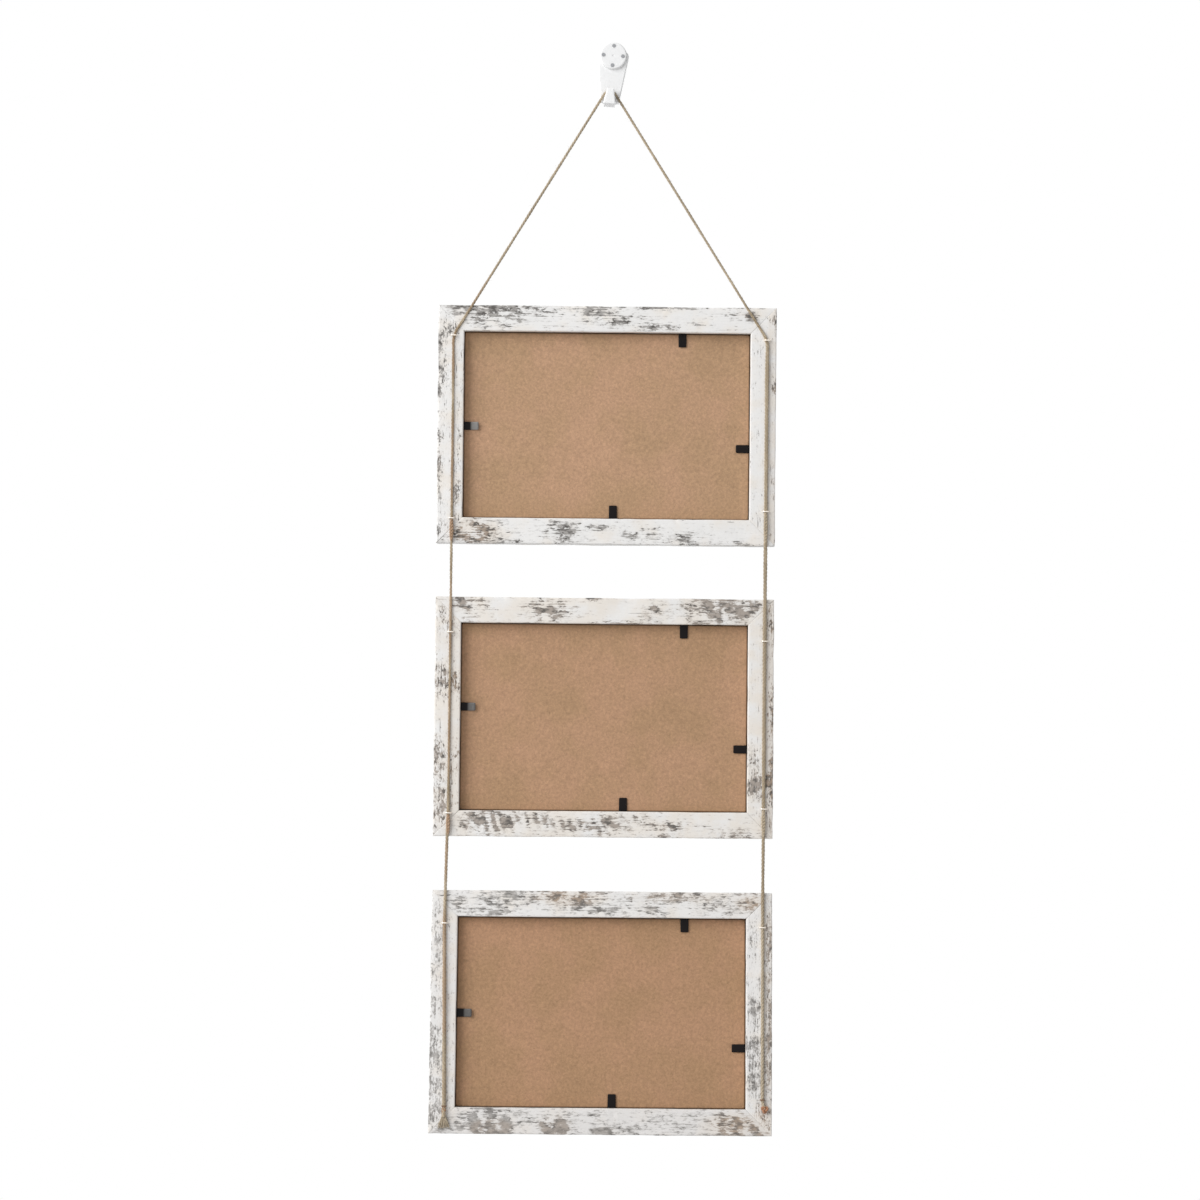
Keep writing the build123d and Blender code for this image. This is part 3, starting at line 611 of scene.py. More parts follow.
def pressed_board(n, looks):
    """Brown pressed board: pink and olive specks, soft clouds of tone, a painted shade along its rim, and a
    painted shade that darkens the lower boards as the light falls off.
    """
    place = n.object_place()
    tone = n.group("tone_mottle", place=place, broad=38.0, fine=520.0, spread=0.28)
    pulp = n.group("tone_mottle", place=place, broad=680.0, fine=1500.0, spread=0.62)
    specks = n.group("rubbed_marks", place=place, scale=900.0, amount=0.30)["Mask"]
    hue = n.gain(pulp["Clouds"], 0.10, tone["Clouds"])
    base = n.mix(n.ramp(hue, 0.37, 0.73, 0.34, 0.66), looks.board_olive, looks.board)
    # Painted shade: the lower boards are darkened as the light falls off down the chain.
    base = n.mix(n.attribute("age"), base, looks.board_falloff_tint, "MULTIPLY")
    base = n.tint(base, n.gain(tone["Tone"], pulp["Tone"]))
    base = n.mix(n.gain(specks, 0.22), base, looks.board_specks_and_rim_shade)
    # Painted shade: the board darkens towards its rim, where the frame's recess shades it.
    rim = n.ramp(n.attribute("rim"), 0.2 * MM, 0.9 * MM, 0.30, 0.0)
    return {
        "Base Color": n.mix(rim, base, looks.board_specks_and_rim_shade),
        "Roughness": n.gain(pulp["Grain"], 0.2, 0.66),
        "Normal": n.bump(n.math("ADD", tone["Grain"], pulp["Grain"]), strength=0.35, distance=0.06 * MM),
        "Specular IOR Level": 0.3,
    }


def black_lacquer(n, looks):
    """Black lacquered spring steel with scattered scuff marks, greyed where the attribute says: scuffs and a
    painted highlight on the left tabs' lifted tips.
    """
    place = n.object_place()
    rubbed = n.attribute("rubbed")
    tone = n.group("tone_mottle", place=place, broad=300.0, fine=2400.0, spread=0.4)
    marks = n.group("rubbed_marks", place=place, scale=900.0, amount=n.gain(rubbed, 0.6, 0.12))["Mask"]
    # Grey cover: real scuff marks, and the painted highlight of the light on the left tabs' tips.
    cover = n.math("MAXIMUM", n.gain(marks, 0.7), n.gain(rubbed, 0.75))
    return {
        "Base Color": n.mix(cover, looks.tab, looks.tab_scuff_and_glint),
        "Roughness": n.gain(tone["Grain"], 0.22, 0.24),
        "Normal": n.bump(tone["Grain"], strength=0.2, distance=0.04 * MM),
        "Specular IOR Level": 0.14,
    }


def drawn_metal(n, colour, rough, lines_along):
    """Drawn metal: fine lines in its gloss and a few dull rubbed marks."""
    place = n.object_place()
    lines = n.group("drawn_lines", place=place, along=lines_along, across=lines_along * 6)["Lines"]
    dull = n.group("rubbed_marks", place=place, scale=700.0, amount=0.5)["Mask"]
    return {
        "Base Color": n.tint(colour, n.gain(dull, -0.25, n.gain(lines, 0.2, 0.9))),
        "Roughness": n.gain(dull, 0.22, n.gain(lines, 0.14, rough)),
        "Metallic": 1.0,
        "Normal": n.bump(lines, strength=0.15, distance=0.03 * MM),
    }


def gold_staple_wire(n, looks):
    """Pale gold coated wire, brown and dull where it has tarnished."""
    tarnish = n.attribute("tarnish")
    colour = n.mix(tarnish, looks.staple, looks.staple_dull)
    wire = drawn_metal(n, colour, rough=n.gain(tarnish, 0.3, 0.34), lines_along=300.0)
    wire["Metallic"] = n.math("SUBTRACT", 1.0, tarnish)
    return wire


def grey_steel(n, looks):
    """Grey steel of nails and pins."""
    return drawn_metal(n, looks.steel, rough=0.32, lines_along=420.0)


def jute_fibre(n, looks):
    """Jute strands: fine fibres along each strand, dark between them, pale where dry, reddish on knots."""
    fibres = n.group("drawn_lines", place=n.attribute("lay", "Vector"), along=240.0, across=16.0)["Lines"]
    tone = n.group("tone_mottle", place=n.object_place(), broad=60.0, fine=1500.0, spread=0.5)
    body = n.mix(n.ramp(fibres, 0.34, 0.56), looks.twine_dark, looks.twine_tan)
    pale = n.ramp(n.gain(tone["Clouds"], 0.6, fibres), 0.80, 1.0)
    body = n.mix(n.math("MAXIMUM", n.gain(pale, 0.8), n.attribute("dry")), body, looks.twine_pale)
    body = n.tint(body, n.gain(n.math("SUBTRACT", tone["Tone"], 1.0), 0.8, 1.0))
    return {
        "Base Color": n.mix(n.attribute("reddish"), body, looks.twine_red),
        "Roughness": n.gain(fibres, 0.2, 0.72),
        "Normal": n.bump(fibres, strength=0.6, distance=0.08 * MM),
        "Sheen Weight": 0.15,
        "Specular IOR Level": 0.25,
    }


def white_moulded_plastic(n, looks):
    """White moulded plastic: satin, with a faint orange peel and handled clouds."""
    place = n.object_place()
    tone = n.group("tone_mottle", place=place, broad=140.0, fine=1500.0, spread=0.04)
    marks = n.group("rubbed_marks", place=place, scale=260.0, amount=0.30)["Mask"]
    handled = n.math("MAXIMUM", n.gain(marks, 0.5), n.ramp(tone["Clouds"], 0.52, 0.78))
    return {
        "Base Color": n.mix(handled, looks.hook, looks.hook_grime),
        "Roughness": n.gain(tone["Grain"], 0.16, 0.30),
        "Normal": n.bump(tone["Grain"], strength=0.05, distance=0.05 * MM),
        "Subsurface Weight": 0.35,
        "Subsurface Radius": (1.0, 1.0, 1.0),
        "Subsurface Scale": 1.5 * MM,
    }


def bare_photo_paper(n, looks):
    """Bare photo paper: smooth white with a breath of fibre."""
    tone = n.group("tone_mottle", place=n.object_place(), broad=30.0, fine=2200.0, spread=0.05)
    return {
        "Base Color": n.tint(looks.paper, tone["Tone"]),
        "Roughness": n.gain(tone["Grain"], 0.2, 0.34),
        "Normal": n.bump(tone["Grain"], strength=0.1, distance=0.03 * MM),
    }


def clear_sheet(n, looks):
    """Clear sheet with faint wiping marks in its gloss."""
    marks = n.group("rubbed_marks", place=n.object_place(), scale=60.0, amount=0.6)["Mask"]
    return {
        "Base Color": looks.glass,
        "Roughness": n.gain(marks, 0.05, 0.02),
        "Transmission Weight": 1.0,
        "IOR": 1.5,
    }


def pale_floor(n, looks):
    """Matt pale floor with a breath of unevenness."""
    tone = n.group("tone_mottle", place=n.object_place(), broad=2.0, fine=60.0, spread=0.03)
    return {"Base Color": n.tint(looks.floor, tone["Tone"]), "Roughness": 0.8, "Specular IOR Level": 0.1}


def finished(finish):
    """The material of a finish, built when first asked for: the finish gives the shader's inputs."""
    if finish.__name__ in bpy.data.materials:
        return bpy.data.materials[finish.__name__]
    material = bpy.data.materials.new(finish.__name__)
    material.use_nodes = True
    n = NodeBench(material.node_tree)
    shader = material.node_tree.nodes["Principled BSDF"].inputs
    for socket, value in finish(n, bpy.context.scene.trio_finishes).items():
        n.feed(shader[socket], value)
    return material


def dress_node(node, finish):
    """Gives a CAD node that stays a finish of its own."""
    slots = frame["nodes"][node].material_slots
    if not slots:
        frame["nodes"][node].data.materials.append(finished(finish))
    for slot in slots:
        slot.material = finished(finish)


def rounded_outline(corners, step, arc_steps=5):
    """Closed outline through corners (x, y, radius).

    A corner is turned by the curve (1 - t)^2 start + 2 t (1 - t) corner + t^2 end. Sides are split evenly.
    """
    spots = np.array([corner[:2] for corner in corners])
    radii = np.array([corner[2] for corner in corners])
    come = unit(spots - np.roll(spots, 1, axis=0))
    leave = np.roll(come, -1, axis=0)
    turn = np.arccos(np.clip((come * leave).sum(1), -1, 1))
    reach = (radii * np.tan(turn / 2))[:, None]
    starts = spots - come * reach
    ends = spots + leave * reach
    t = np.linspace(0, 1, arc_steps + 1)[:, None]
    parts = []
    for index, spot in enumerate(spots):
        parts.append((1 - t) ** 2 * starts[index] + 2 * t * (1 - t) * spot + t**2 * ends[index])
        gap = starts[(index + 1) % len(spots)] - ends[index]
        count = max(int(np.linalg.norm(gap) / step), 1)
        parts.append(ends[index] + gap * np.linspace(0, 1, count + 1)[1:-1, None])
    return np.concatenate(parts)


SEAT_RADIUS = 0.15 * MM
BEVEL_RADIUS = 0.5 * MM
LIP_RADIUS = 0.4 * MM
LIP_EDGE_RADIUS = 0.3 * MM
MOULDING_STEP = 1.1 * MM


def moulding_outline(sizes):
    """The moulding's section: across runs out from the rabbet wall, depth runs in from the back."""
    worn = sizes.edge_radius
    lip = sizes.lip_width
    width = sizes.moulding_width
    depth = sizes.moulding_depth
    corners = (
        (0.0, sizes.lip_seat, SEAT_RADIUS),
        (0.0, 0.0, worn),
        (width, 0.0, worn),
        (width, depth, worn),
        (sizes.lip_bevel - lip, depth, BEVEL_RADIUS),
        (-lip, depth - sizes.lip_bevel, LIP_RADIUS),
        (-lip, sizes.lip_seat, LIP_EDGE_RADIUS),
    )
    return rounded_outline(corners, MOULDING_STEP)


MITRE_STEPS = np.array([0.0, 0.25, 0.6, 1.1, 1.9]) * MM
MITRE_GAP = 0.02 * MM
RAIL_STEP = 1.25 * MM
WAVE_HEIGHT = 0.07 * MM
WAVE_SPANS = (60 * MM, 14 * MM)
DENT_DEPTH = 0.30 * MM
DENT_SPANS = (11 * MM, 4 * MM)
DENT_LIMIT = 1.9
CHIP_DEPTH = 0.16 * MM
CHIP_SPANS = (16 * MM, 3 * MM)
CHIP_LIMIT = 0.5
CHIP_REACH = 1.1 * MM
EASED_DEPTH = 0.07 * MM
EASED_REACH = 0.35 * MM
LOWEST_SKIN = -0.5 * MM
HIGHEST_SKIN = 0.12 * MM
WALL_SLACK = 0.05 * MM


def rail_surface(sizes, half, seed):
    """One mitred rail as rings of its section: along = u (half length - width + across), u from -1 to 1.

    The skin moves along its normal by soft waves, small dents, chips on the outer edges and eased mitres.
    The rabbet wall never bulges. Returns places along, across and deep, and the distance round the section.
    """
    outline = moulding_outline(sizes)
    across, depth = outline.T
    ends = 1 - MITRE_STEPS / half
    inner = np.linspace(-ends[-1], ends[-1], int(2 * half / RAIL_STEP))
    u = np.concatenate([-ends[:-1], inner, ends[:-1][::-1]])
    chord = np.roll(outline, -1, axis=0) - np.roll(outline, 1, axis=0)
    normal = unit(np.stack([chord[:, 1], -chord[:, 0]], axis=1))
    along = u[:, None] * (half - sizes.moulding_width + across - MITRE_GAP)
    wander = np.broadcast_to(distance_along(outline), along.shape)
    waves = WAVE_HEIGHT * soft_noise(seed, along, wander, *WAVE_SPANS)
    dents = np.clip(soft_noise(seed + 1, along, wander, *DENT_SPANS) - DENT_LIMIT, 0, 1)
    chips = np.clip(soft_noise(seed + 2, along, wander * 0, *CHIP_SPANS) - CHIP_LIMIT, 0, 2)
    from_edge = np.abs(across - sizes.moulding_width) + np.minimum(depth, sizes.moulding_depth - depth)
    chips = CHIP_DEPTH * chips * bell(from_edge, CHIP_REACH)
    from_mitre = half * (1 - np.abs(u))[:, None]
    shift = waves - DENT_DEPTH * dents - chips - EASED_DEPTH * bell(from_mitre, EASED_REACH)
    on_wall = (np.abs(across) < WALL_SLACK) & (depth < sizes.lip_seat)
    shift = np.clip(shift, LOWEST_SKIN, np.where(on_wall, 0.0, HIGHEST_SKIN))
    return along, across + normal[:, 0] * shift, depth + normal[:, 1] * shift, wander


PATCH_SOFT = 1.2
PATCH_OVERLAP = 0.25
STAIN_GAIN = 1.6
RAGGED_SPREAD = 0.35
RAGGED_SPANS = (18 * MM, 4 * MM)
RAGGED_LIMITS = (0.35, 1.6)
MITRE_WEAR = 0.35
MITRE_CLEAN = 6 * MM
HAZE_GAIN = 1.6
HAZE_LIMITS = (0.85, 1.25)
OUTER_EDGE = 0.07
EDGE_WEAR = 0.14
OTHER_FACE_WEAR = 0.34
OTHER_FACE_SPREAD = 0.20
OTHER_FACE_SPANS = (70 * MM, 18 * MM)
OTHER_FACE_LIMITS = (0.05, 0.9)
MOST_WEAR = 1.4
RABBET_OUT = 0.3 * MM
SEAT_PAST = 0.4 * MM
# The strips to the right of each twine, away from the light: greyed there as painted shade of the twine, with
# a little more wear and yellowing.
LEFT_SHADE_STRIP = 0.6
LEFT_SHADE_EDGES = (0.32, 0.48)
RIGHT_SHADE_EDGES = (0.58, 0.76)
SHADE_STRIP_WEAR = 0.05
SHADE_STRIP_STAIN = 0.5
SHADE_STRIP_DARKENING = 0.07
BACK_ENDS = (0.8 * MM, 2.2 * MM)
PAINT_ENDS = (3.0 * MM, 4.2 * MM)


def rail_wear(sizes, name, side, half, seed, along, across, depth, wander):
    """Wear, stain, grime, haze and bareness of each point.

    On the back, wear adds ragged patches to the frame's own; on other faces it wanders, and the outer edges
    wear most. The strips to the right of each twine, inside the left one and outside the right one, are
    greyed as painted shade of the twine, with a little more wear and yellowing.
    """
    t = along / half
    a = across / sizes.moulding_width
    wear = np.zeros_like(along)
    stain = np.zeros_like(along)
    for t0, a0, spread_t, spread_a, strength, brown in WORN_PATCHES[name, side]:
        far_t = (t - t0) / (PATCH_SOFT * spread_t)
        far_a = (a - a0) / (PATCH_SOFT * spread_a)
        patch = strength * np.exp(-(far_t**2) - far_a**2)
        wear = np.maximum(wear, patch) + PATCH_OVERLAP * np.minimum(wear, patch)
        stain = np.maximum(stain, brown * np.minimum(1.0, STAIN_GAIN * patch))
    frame_wear, gain, frame_grime, frame_stain, haze = FRAME_AGE[name]
    more_grime, more_haze = DULL_RAILS.get((name, side), (0.0, 0.0))
    ragged = 1 + RAGGED_SPREAD * soft_noise(seed + 5, along, wander, *RAGGED_SPANS)
    ragged = np.clip(ragged, *RAGGED_LIMITS)
    from_mitre = half - np.abs(along) - sizes.moulding_width + across
    wear = gain * ragged * wear * (MITRE_WEAR + (1 - MITRE_WEAR) * smooth_step(from_mitre, 0, MITRE_CLEAN))
    haze = more_haze + haze * (1 + HAZE_GAIN * smooth_step(wear, *HAZE_LIMITS))
    # These strips take the painted shade of the twine, on its side away from the light.
    handled = np.zeros_like(along)
    if side == "left":
        handled = LEFT_SHADE_STRIP - LEFT_SHADE_STRIP * smooth_step(a, *LEFT_SHADE_EDGES)
    if side == "right":
        handled = smooth_step(a, *RIGHT_SHADE_EDGES)
    wear = wear + frame_wear + EDGE_WEAR * bell(a - 1, OUTER_EDGE) + SHADE_STRIP_WEAR * handled
    stain = np.maximum(stain, frame_stain + SHADE_STRIP_STAIN * handled)
    grime_and_twine_shade = frame_grime + SHADE_STRIP_DARKENING * handled + more_grime
    back = 1 - smooth_step(depth, *BACK_ENDS)
    elsewhere = OTHER_FACE_SPREAD * soft_noise(seed + 3, along, wander, *OTHER_FACE_SPANS)
    elsewhere = np.clip(OTHER_FACE_WEAR + elsewhere, *OTHER_FACE_LIMITS)
    wear = np.clip(back * wear + (1 - back) * elsewhere, 0, MOST_WEAR)
    inside = (across < RABBET_OUT) & (depth < sizes.lip_seat + SEAT_PAST)
    raw = np.where(inside, smooth_step(depth, *PAINT_ENDS), 0.0)
    return {"wear": wear, "stain": stain * back, "grime_and_twine_shade": grime_and_twine_shade * back, "haze": haze * back, "raw": raw}


def place_on_side(sizes, side, along, across, depth):
    """Points in a frame's axes, right, in and up, from places along and out of a side's rabbet wall."""
    half_wide, half_high = opening(sizes)
    right, up = {
        "top": (along, half_high + across),
        "bottom": (along, -half_high - across),
        "right": (half_wide + across, along),
        "left": (-half_wide - across, along),
    }[side]
    return np.stack([right, depth, up], axis=-1)


SHORT_STREAKS = 1.6
GRAIN_APART = 0.37
FIRST_SEED = 110
SEED_STEP = 10


class TRIO_OT_rails(bpy.types.Operator):
    """Makes the painted rails and stiles of the three frames"""

    bl_idname = "trio.rails"
    bl_label = "Painted rails"

    def execute(self, context):
        sizes = context.scene.trio_sizes
        rails = [(name, side) for name in FRAMES for side in SIDES]
        for count, (name, side) in enumerate(rails):
            seed = FIRST_SEED + SEED_STEP * count
            long_side = side in ("top", "bottom")
            half = (sizes.outer_width if long_side else sizes.outer_height) / 2
            along, across, depth, wander = rail_surface(sizes, half, seed)
            looks = rail_wear(sizes, name, side, half, seed, along, across, depth, wander)
            streak = 1.0 if long_side else SHORT_STREAKS
            apart = np.full_like(along, GRAIN_APART * seed)
            looks["grain"] = np.stack([streak * along, wander, apart], axis=-1)
            points = frame_to_world(name, place_on_side(sizes, side, along, across, depth))
            node = f"{name}_{RAIL_NODES[side]}"
            piece = make_piece(f"{node}_painted", points, worn_white_paint, **looks)
            stand_for(piece, name, node)
        return {"FINISHED"}


BOARD_CORNER = 0.9 * MM
BOARD_STEP = 3 * MM
BACK_INSET = np.array([12, 6, 3, 2, 1.4, 0.9, 0.5, 0.22, 0.06, 0]) * MM
BACK_SUNK = np.array([0, 0, 0, 0, 0, 0, 0, 0.05, 0.2, 0.45]) * MM
FRONT_INSET = np.array([0, 0.06, 0.25, 0.6, 12]) * MM
FRONT_SUNK = np.array([0.4, 0.15, 0.03, 0, 0]) * MM


def board_surface(sizes):
    """A thin board as rings of its rounded outline, drawn in on the back, over the soft edge, on the front.

    Returns the rings' points in the frame's axes and each point's distance from the rim.
    """
    half_wide, half_high = np.array(opening(sizes)) - sizes.board_play
    quarters = ((1, 1), (-1, 1), (-1, -1), (1, -1))
    corners = [(half_wide * right, half_high * up, BOARD_CORNER) for right, up in quarters]
    outline = rounded_outline(corners, BOARD_STEP)
    inset = np.concatenate([BACK_INSET, FRONT_INSET])[:, None]
    front = sizes.board_back + sizes.board_thickness
    depth = np.concatenate([sizes.board_back + BACK_SUNK, front - FRONT_SUNK])[:, None]
    right = outline[:, 0] * (1 - inset / half_wide)
    up = outline[:, 1] * (1 - inset / half_high)
    points = np.stack([right, np.broadcast_to(depth, right.shape), up], axis=-1)
    return points, np.broadcast_to(inset, right.shape)


class TRIO_OT_boards(bpy.types.Operator):
    """Makes the backing boards, and dresses the glass and the bare photo sheets"""

    bl_idname = "trio.boards"
    bl_label = "Backing boards"

    def execute(self, context):
        points, rim = board_surface(context.scene.trio_sizes)
        for name in FRAMES:
            node = f"{name}_backing_board"
            placed = frame_to_world(name, points)
            piece = make_piece(f"{node}_pressed", placed, pressed_board, rim=rim, age=BOARD_FALLOFF_SHADE[name])
            stand_for(piece, name, node)
            dress_node(f"{name}_glazing", clear_sheet)
            dress_node(f"{name}_photo_insert", bare_photo_paper)
        return {"FINISHED"}


TAB_RINGS = 26
TAB_SIDES = 20
TAB_AXIS = 0.45 * MM
TAB_BOW = 0.06 * MM
TAB_TIP = 0.08
TAB_SPACING = 2.2
TAB_TAPER = 0.03
TIP_NARROWS = 0.24
TIP_THINS = 0.45
TAB_WIDE_SQUARE = 0.35
TAB_THICK_SQUARE = 0.6
ROOT_TURNS = np.radians([10, 25, 42, 60, 76])
LEFT_TAB_LIFT = 1.30 * MM
LEFT_TAB_LIFTS = (0.46, 1.25)
LEFT_TAB_TWIST = 0.10
LEFT_TAB_TWISTS = (0.48, 0.8)
LEFT_TAB_STRETCH = 1.11
TIP_HIGHLIGHT_FROM = (0.40, 0.54)
TIP_HIGHLIGHT_FADES = (0.85, 1.0)


def tab_surface(sizes, side):
    """A bent tab: a flat rounded bar of width w(u) and thickness t(u), u from its bending line to its tip.

    The root is round about that line, the tip is square with rounded corners, and the bar lies in a shallow
    curve. The left tabs are bent longer, lift at the tip and twist a little. Returns places in from the wall,
    along the wall and deep, and how much each point takes of the scuffs and the painted highlight on the
    left tabs' lifted tips.
    """
    free = 1 - (1 - np.linspace(0, 1, TAB_RINGS)) ** TAB_SPACING
    u = np.concatenate([0 * ROOT_TURNS, free])
    root = np.concatenate([np.sin(ROOT_TURNS), np.ones(TAB_RINGS)])
    a = round_angles(TAB_SIDES)
    tip = np.clip((u - (1 - TAB_TIP)) / TAB_TIP, 0, 1)
    narrowed = 1 - TIP_NARROWS * (1 - np.sqrt(1 - tip**2))
    half_wide = sizes.tab_width / 2 * (1 - TAB_TAPER * u) * narrowed
    half_thick = sizes.tab_thickness / 2 * root * (1 - TIP_THINS * tip**3)
    lift = TAB_BOW * np.sin(np.pi * u)
    twist = np.zeros_like(u)
    rubbed = np.zeros_like(u)
    reach = sizes.tab_reach
    if side == "left":
        lift = LEFT_TAB_LIFT * smooth_step(u, *LEFT_TAB_LIFTS)
        twist = LEFT_TAB_TWIST * smooth_step(u, *LEFT_TAB_TWISTS)
        # The left tabs' tips turn grey: a painted highlight where the lifted tip catches the light, with some
        # scuffing.
        rubbed = smooth_step(u, *TIP_HIGHLIGHT_FROM) * (1 - 0.4 * smooth_step(u, *TIP_HIGHLIGHT_FADES))
        reach = reach * LEFT_TAB_STRETCH
    behind = sizes.tab_thickness / 2 * np.sqrt(1 - root**2)
    inward = (TAB_AXIS - behind + u * (reach - TAB_AXIS))[:, None]
    wide = half_wide[:, None] * squarish(np.cos(a), TAB_WIDE_SQUARE)
    thick = half_thick[:, None] * squarish(np.sin(a), TAB_THICK_SQUARE)
    deep = thick - lift[:, None] - twist[:, None] * wide
    inward = np.broadcast_to(inward, wide.shape)
    return inward, wide, sizes.tab_middle + deep, np.broadcast_to(rubbed[:, None], wide.shape)


class TRIO_OT_tabs(bpy.types.Operator):
    """Makes the black bent tabs that hold the boards, and dresses their driven halves"""

    bl_idname = "trio.tabs"
    bl_label = "Bent tabs"

    def execute(self, context):
        sizes = context.scene.trio_sizes
        for name in FRAMES:
            for side, spot in zip(SIDES, TAB_PLACES[name]):
                inward, wide, deep, rubbed = tab_surface(sizes, side)
                points = frame_to_world(name, place_on_side(sizes, side, spot + wide, -inward, deep))
                node = f"{name}_tab_{side}"
                piece = make_piece(f"{node}_lacquered", points, black_lacquer, rubbed=TAB_TIP_SCUFF_AND_HIGHLIGHT[name] * rubbed)
                stand_for(piece, node, node)
            dress_node(f"{name}_tab_shanks", black_lacquer)
        return {"FINISHED"}


STAPLE_LEG = 4.0 * MM
STAPLE_BEND = 0.75 * MM
LEG_STEPS = 5
BEND_STEPS = 7
CROWN_STEPS = 7
STAPLE_SIDES = 12
WIRE_SQUARE = 0.55
PINCHED = 0.20


def staple_path(sizes):
    """A staple's line: a U with rounded shoulders, across and deep, with the normal of the line."""
    half = (sizes.staple_span - sizes.staple_thickness) / 2
    top = -sizes.staple_crown
    turn = np.linspace(0, np.pi / 2, BEND_STEPS)
    bend = STAPLE_BEND
    shoulder = np.stack([-half + bend * (1 - np.cos(turn)), top + bend * (1 - np.sin(turn))], axis=1)
    depths = np.linspace(STAPLE_LEG, top + bend, LEG_STEPS, endpoint=False)
    left = np.concatenate([np.stack([np.full(LEG_STEPS, -half), depths], axis=1), shoulder])
    across = np.linspace(-half + bend, half - bend, CROWN_STEPS + 2)[1:-1]
    crown = np.stack([across, np.full(CROWN_STEPS, top)], axis=1)
    path = np.concatenate([left, crown, left[::-1] * np.array([-1, 1])])
    tangent = unit(np.gradient(path, axis=0))
    return path, np.stack([-tangent[:, 1], tangent[:, 0]], axis=1)


def staple_surface(sizes):
    """A flat wire carried along the staple's line: line + thickness sin a normal, and width cos a upwards.

    The sine and the cosine are drawn towards square waves. Returns places across, deep and up.
    """
    path, normal = staple_path(sizes)
    a = round_angles(STAPLE_SIDES)
    thick = sizes.staple_thickness / 2 * squarish(np.sin(a), WIRE_SQUARE)
    across, deep = np.moveaxis(path[:, None, :] + normal[:, None, :] * thick[None, :, None], -1, 0)
    return across, deep, sizes.staple_width / 2 * squarish(np.cos(a), WIRE_SQUARE)


class TRIO_OT_staples(bpy.types.Operator):
    """Makes the staples over the twine, and dresses the corner nails"""

    bl_idname = "trio.staples"
    bl_label = "Staples"

    def execute(self, context):
        sizes = context.scene.trio_sizes
        half = sizes.outer_height / 2
        across, deep, wide = staple_surface(sizes)
        for name in FRAMES:
            spots = []
            for side, x in TWINE_X.items():
                down, up = STAPLE_PLACES[name][side]
                spots.append((x + TOP_STAPLE_ASIDE.get((name, side), 0.0), half - down, 0.0))
                spots.append((x, up - half, float(name == "lower_frame")))
            x, height, under_knot = np.array(spots).T[..., None, None]
            right = x + across * (1 - PINCHED * under_knot)
            points = np.stack(np.broadcast_arrays(right, deep, height + wide), axis=-1)
            points = frame_to_world(name, points)
            tarnish = np.broadcast_to(under_knot, right.shape)
            node = f"{name}_staples"
            piece = make_piece(f"{node}_wire", points, gold_staple_wire, tarnish=tarnish)
            stand_for(piece, name, node)
            dress_node(f"{name}_corner_nails", grey_steel)
        return {"FINISHED"}


TWINE_STEP = 0.42 * MM
CURVE_STEPS = 48


def twine_line():
    """The twine's centreline: points read from one smooth spline whose control points are the route."""
    curve = bpy.data.curves.new("twine_route", "CURVE")
    curve.dimensions = "3D"
    spline = curve.splines.new("NURBS")
    route = np.array(TWINE_ROUTE)
    spline.points.add(len(route) - 1)
    spline.points.foreach_set("co", np.column_stack([route, np.ones(len(route))]).ravel())
    spline.order_u = 3
    spline.use_endpoint_u = True
    spline.resolution_u = CURVE_STEPS
    carrier = bpy.data.objects.new("twine_route", curve)
    bpy.context.scene.collection.objects.link(carrier)
    bpy.context.view_layer.update()
    mesh = bpy.data.meshes.new_from_object(carrier)
    read = np.zeros(len(mesh.vertices) * 3)
    mesh.vertices.foreach_get("co", read)
    bpy.data.objects.remove(carrier)
    bpy.data.curves.remove(curve)
    bpy.data.meshes.remove(mesh)
    read = read.reshape(-1, 3)
    far = distance_along(read)
    even = np.linspace(0, far[-1], int(far[-1] / TWINE_STEP))
    return np.stack([np.interp(even, far, read[:, axis]) for axis in range(3)], axis=1), even


def line_axes(line):
    """Tangent of a line, and two directions square to it, the first as near as can be to the wall's."""
    tangent = unit(np.gradient(line, axis=-2))
    first = unit(INTO_WALL - (tangent @ INTO_WALL)[..., None] * tangent)
    return tangent, first, np.cross(tangent, first)


GRAIN_SHIFT = 7.3


def tube_bundle(centres, radii, sides, guide=None):
    """Round tubes round many lines at once: centre + radius (cos a first + sin a second).

    centres is tubes by rings by 3 and radii is tubes by rings. The guide sets where the angle starts.
    Returns the points and, for the fibres, each point's place along, round and among the tubes.
    """
    tangent = unit(np.gradient(centres, axis=1))
    if guide is None:
        chord = np.abs(centres[:, -1] - centres[:, 0])
        guide = np.eye(3)[chord.argmin(1)][:, None, :]
    first = unit(guide - (tangent * guide).sum(-1, keepdims=True) * tangent)
    second = np.cross(tangent, first)
    a = round_angles(sides)
    skin = np.cos(a)[:, None] * first[:, :, None, :] + np.sin(a)[:, None] * second[:, :, None, :]
    points = centres[:, :, None, :] + radii[:, :, None, None] * skin
    lay = np.zeros(points.shape)
    lay[..., 0] = distance_along(centres)[:, :, None]
    lay[..., 1] = np.abs(a / np.pi - 1)
    lay[..., 2] = GRAIN_SHIFT * np.arange(len(centres))[:, None, None]
    return points, lay


# Heights below the hook's head, and distances out to the sides, between which the twine changes.
LEGS_END = (0.125, 0.150)
FIRST_STAPLE = (0.150, 0.162)
LOWER_LINK = (0.395, 0.420)
LOWER_FRAME = (0.470, 0.490)
TO_THE_SIDE = (0.06, 0.08)

# How dry and how reddish the twine is, and how far inside a frame's edges it lies on the wood.
DRY_OPEN = 0.26
DRY_LOW_RIGHT = 0.40
DRY_LEGS = 0.34
RED_SEED = 9
RED_SPANS = (120 * MM, 25 * MM)
RED_LEVEL = 0.25
RED_SPREAD = 0.5
RED_MOST = 0.6
RED_SHARE = 0.32
EDGE_NEAR = MM
EDGE_FULL = 8 * MM


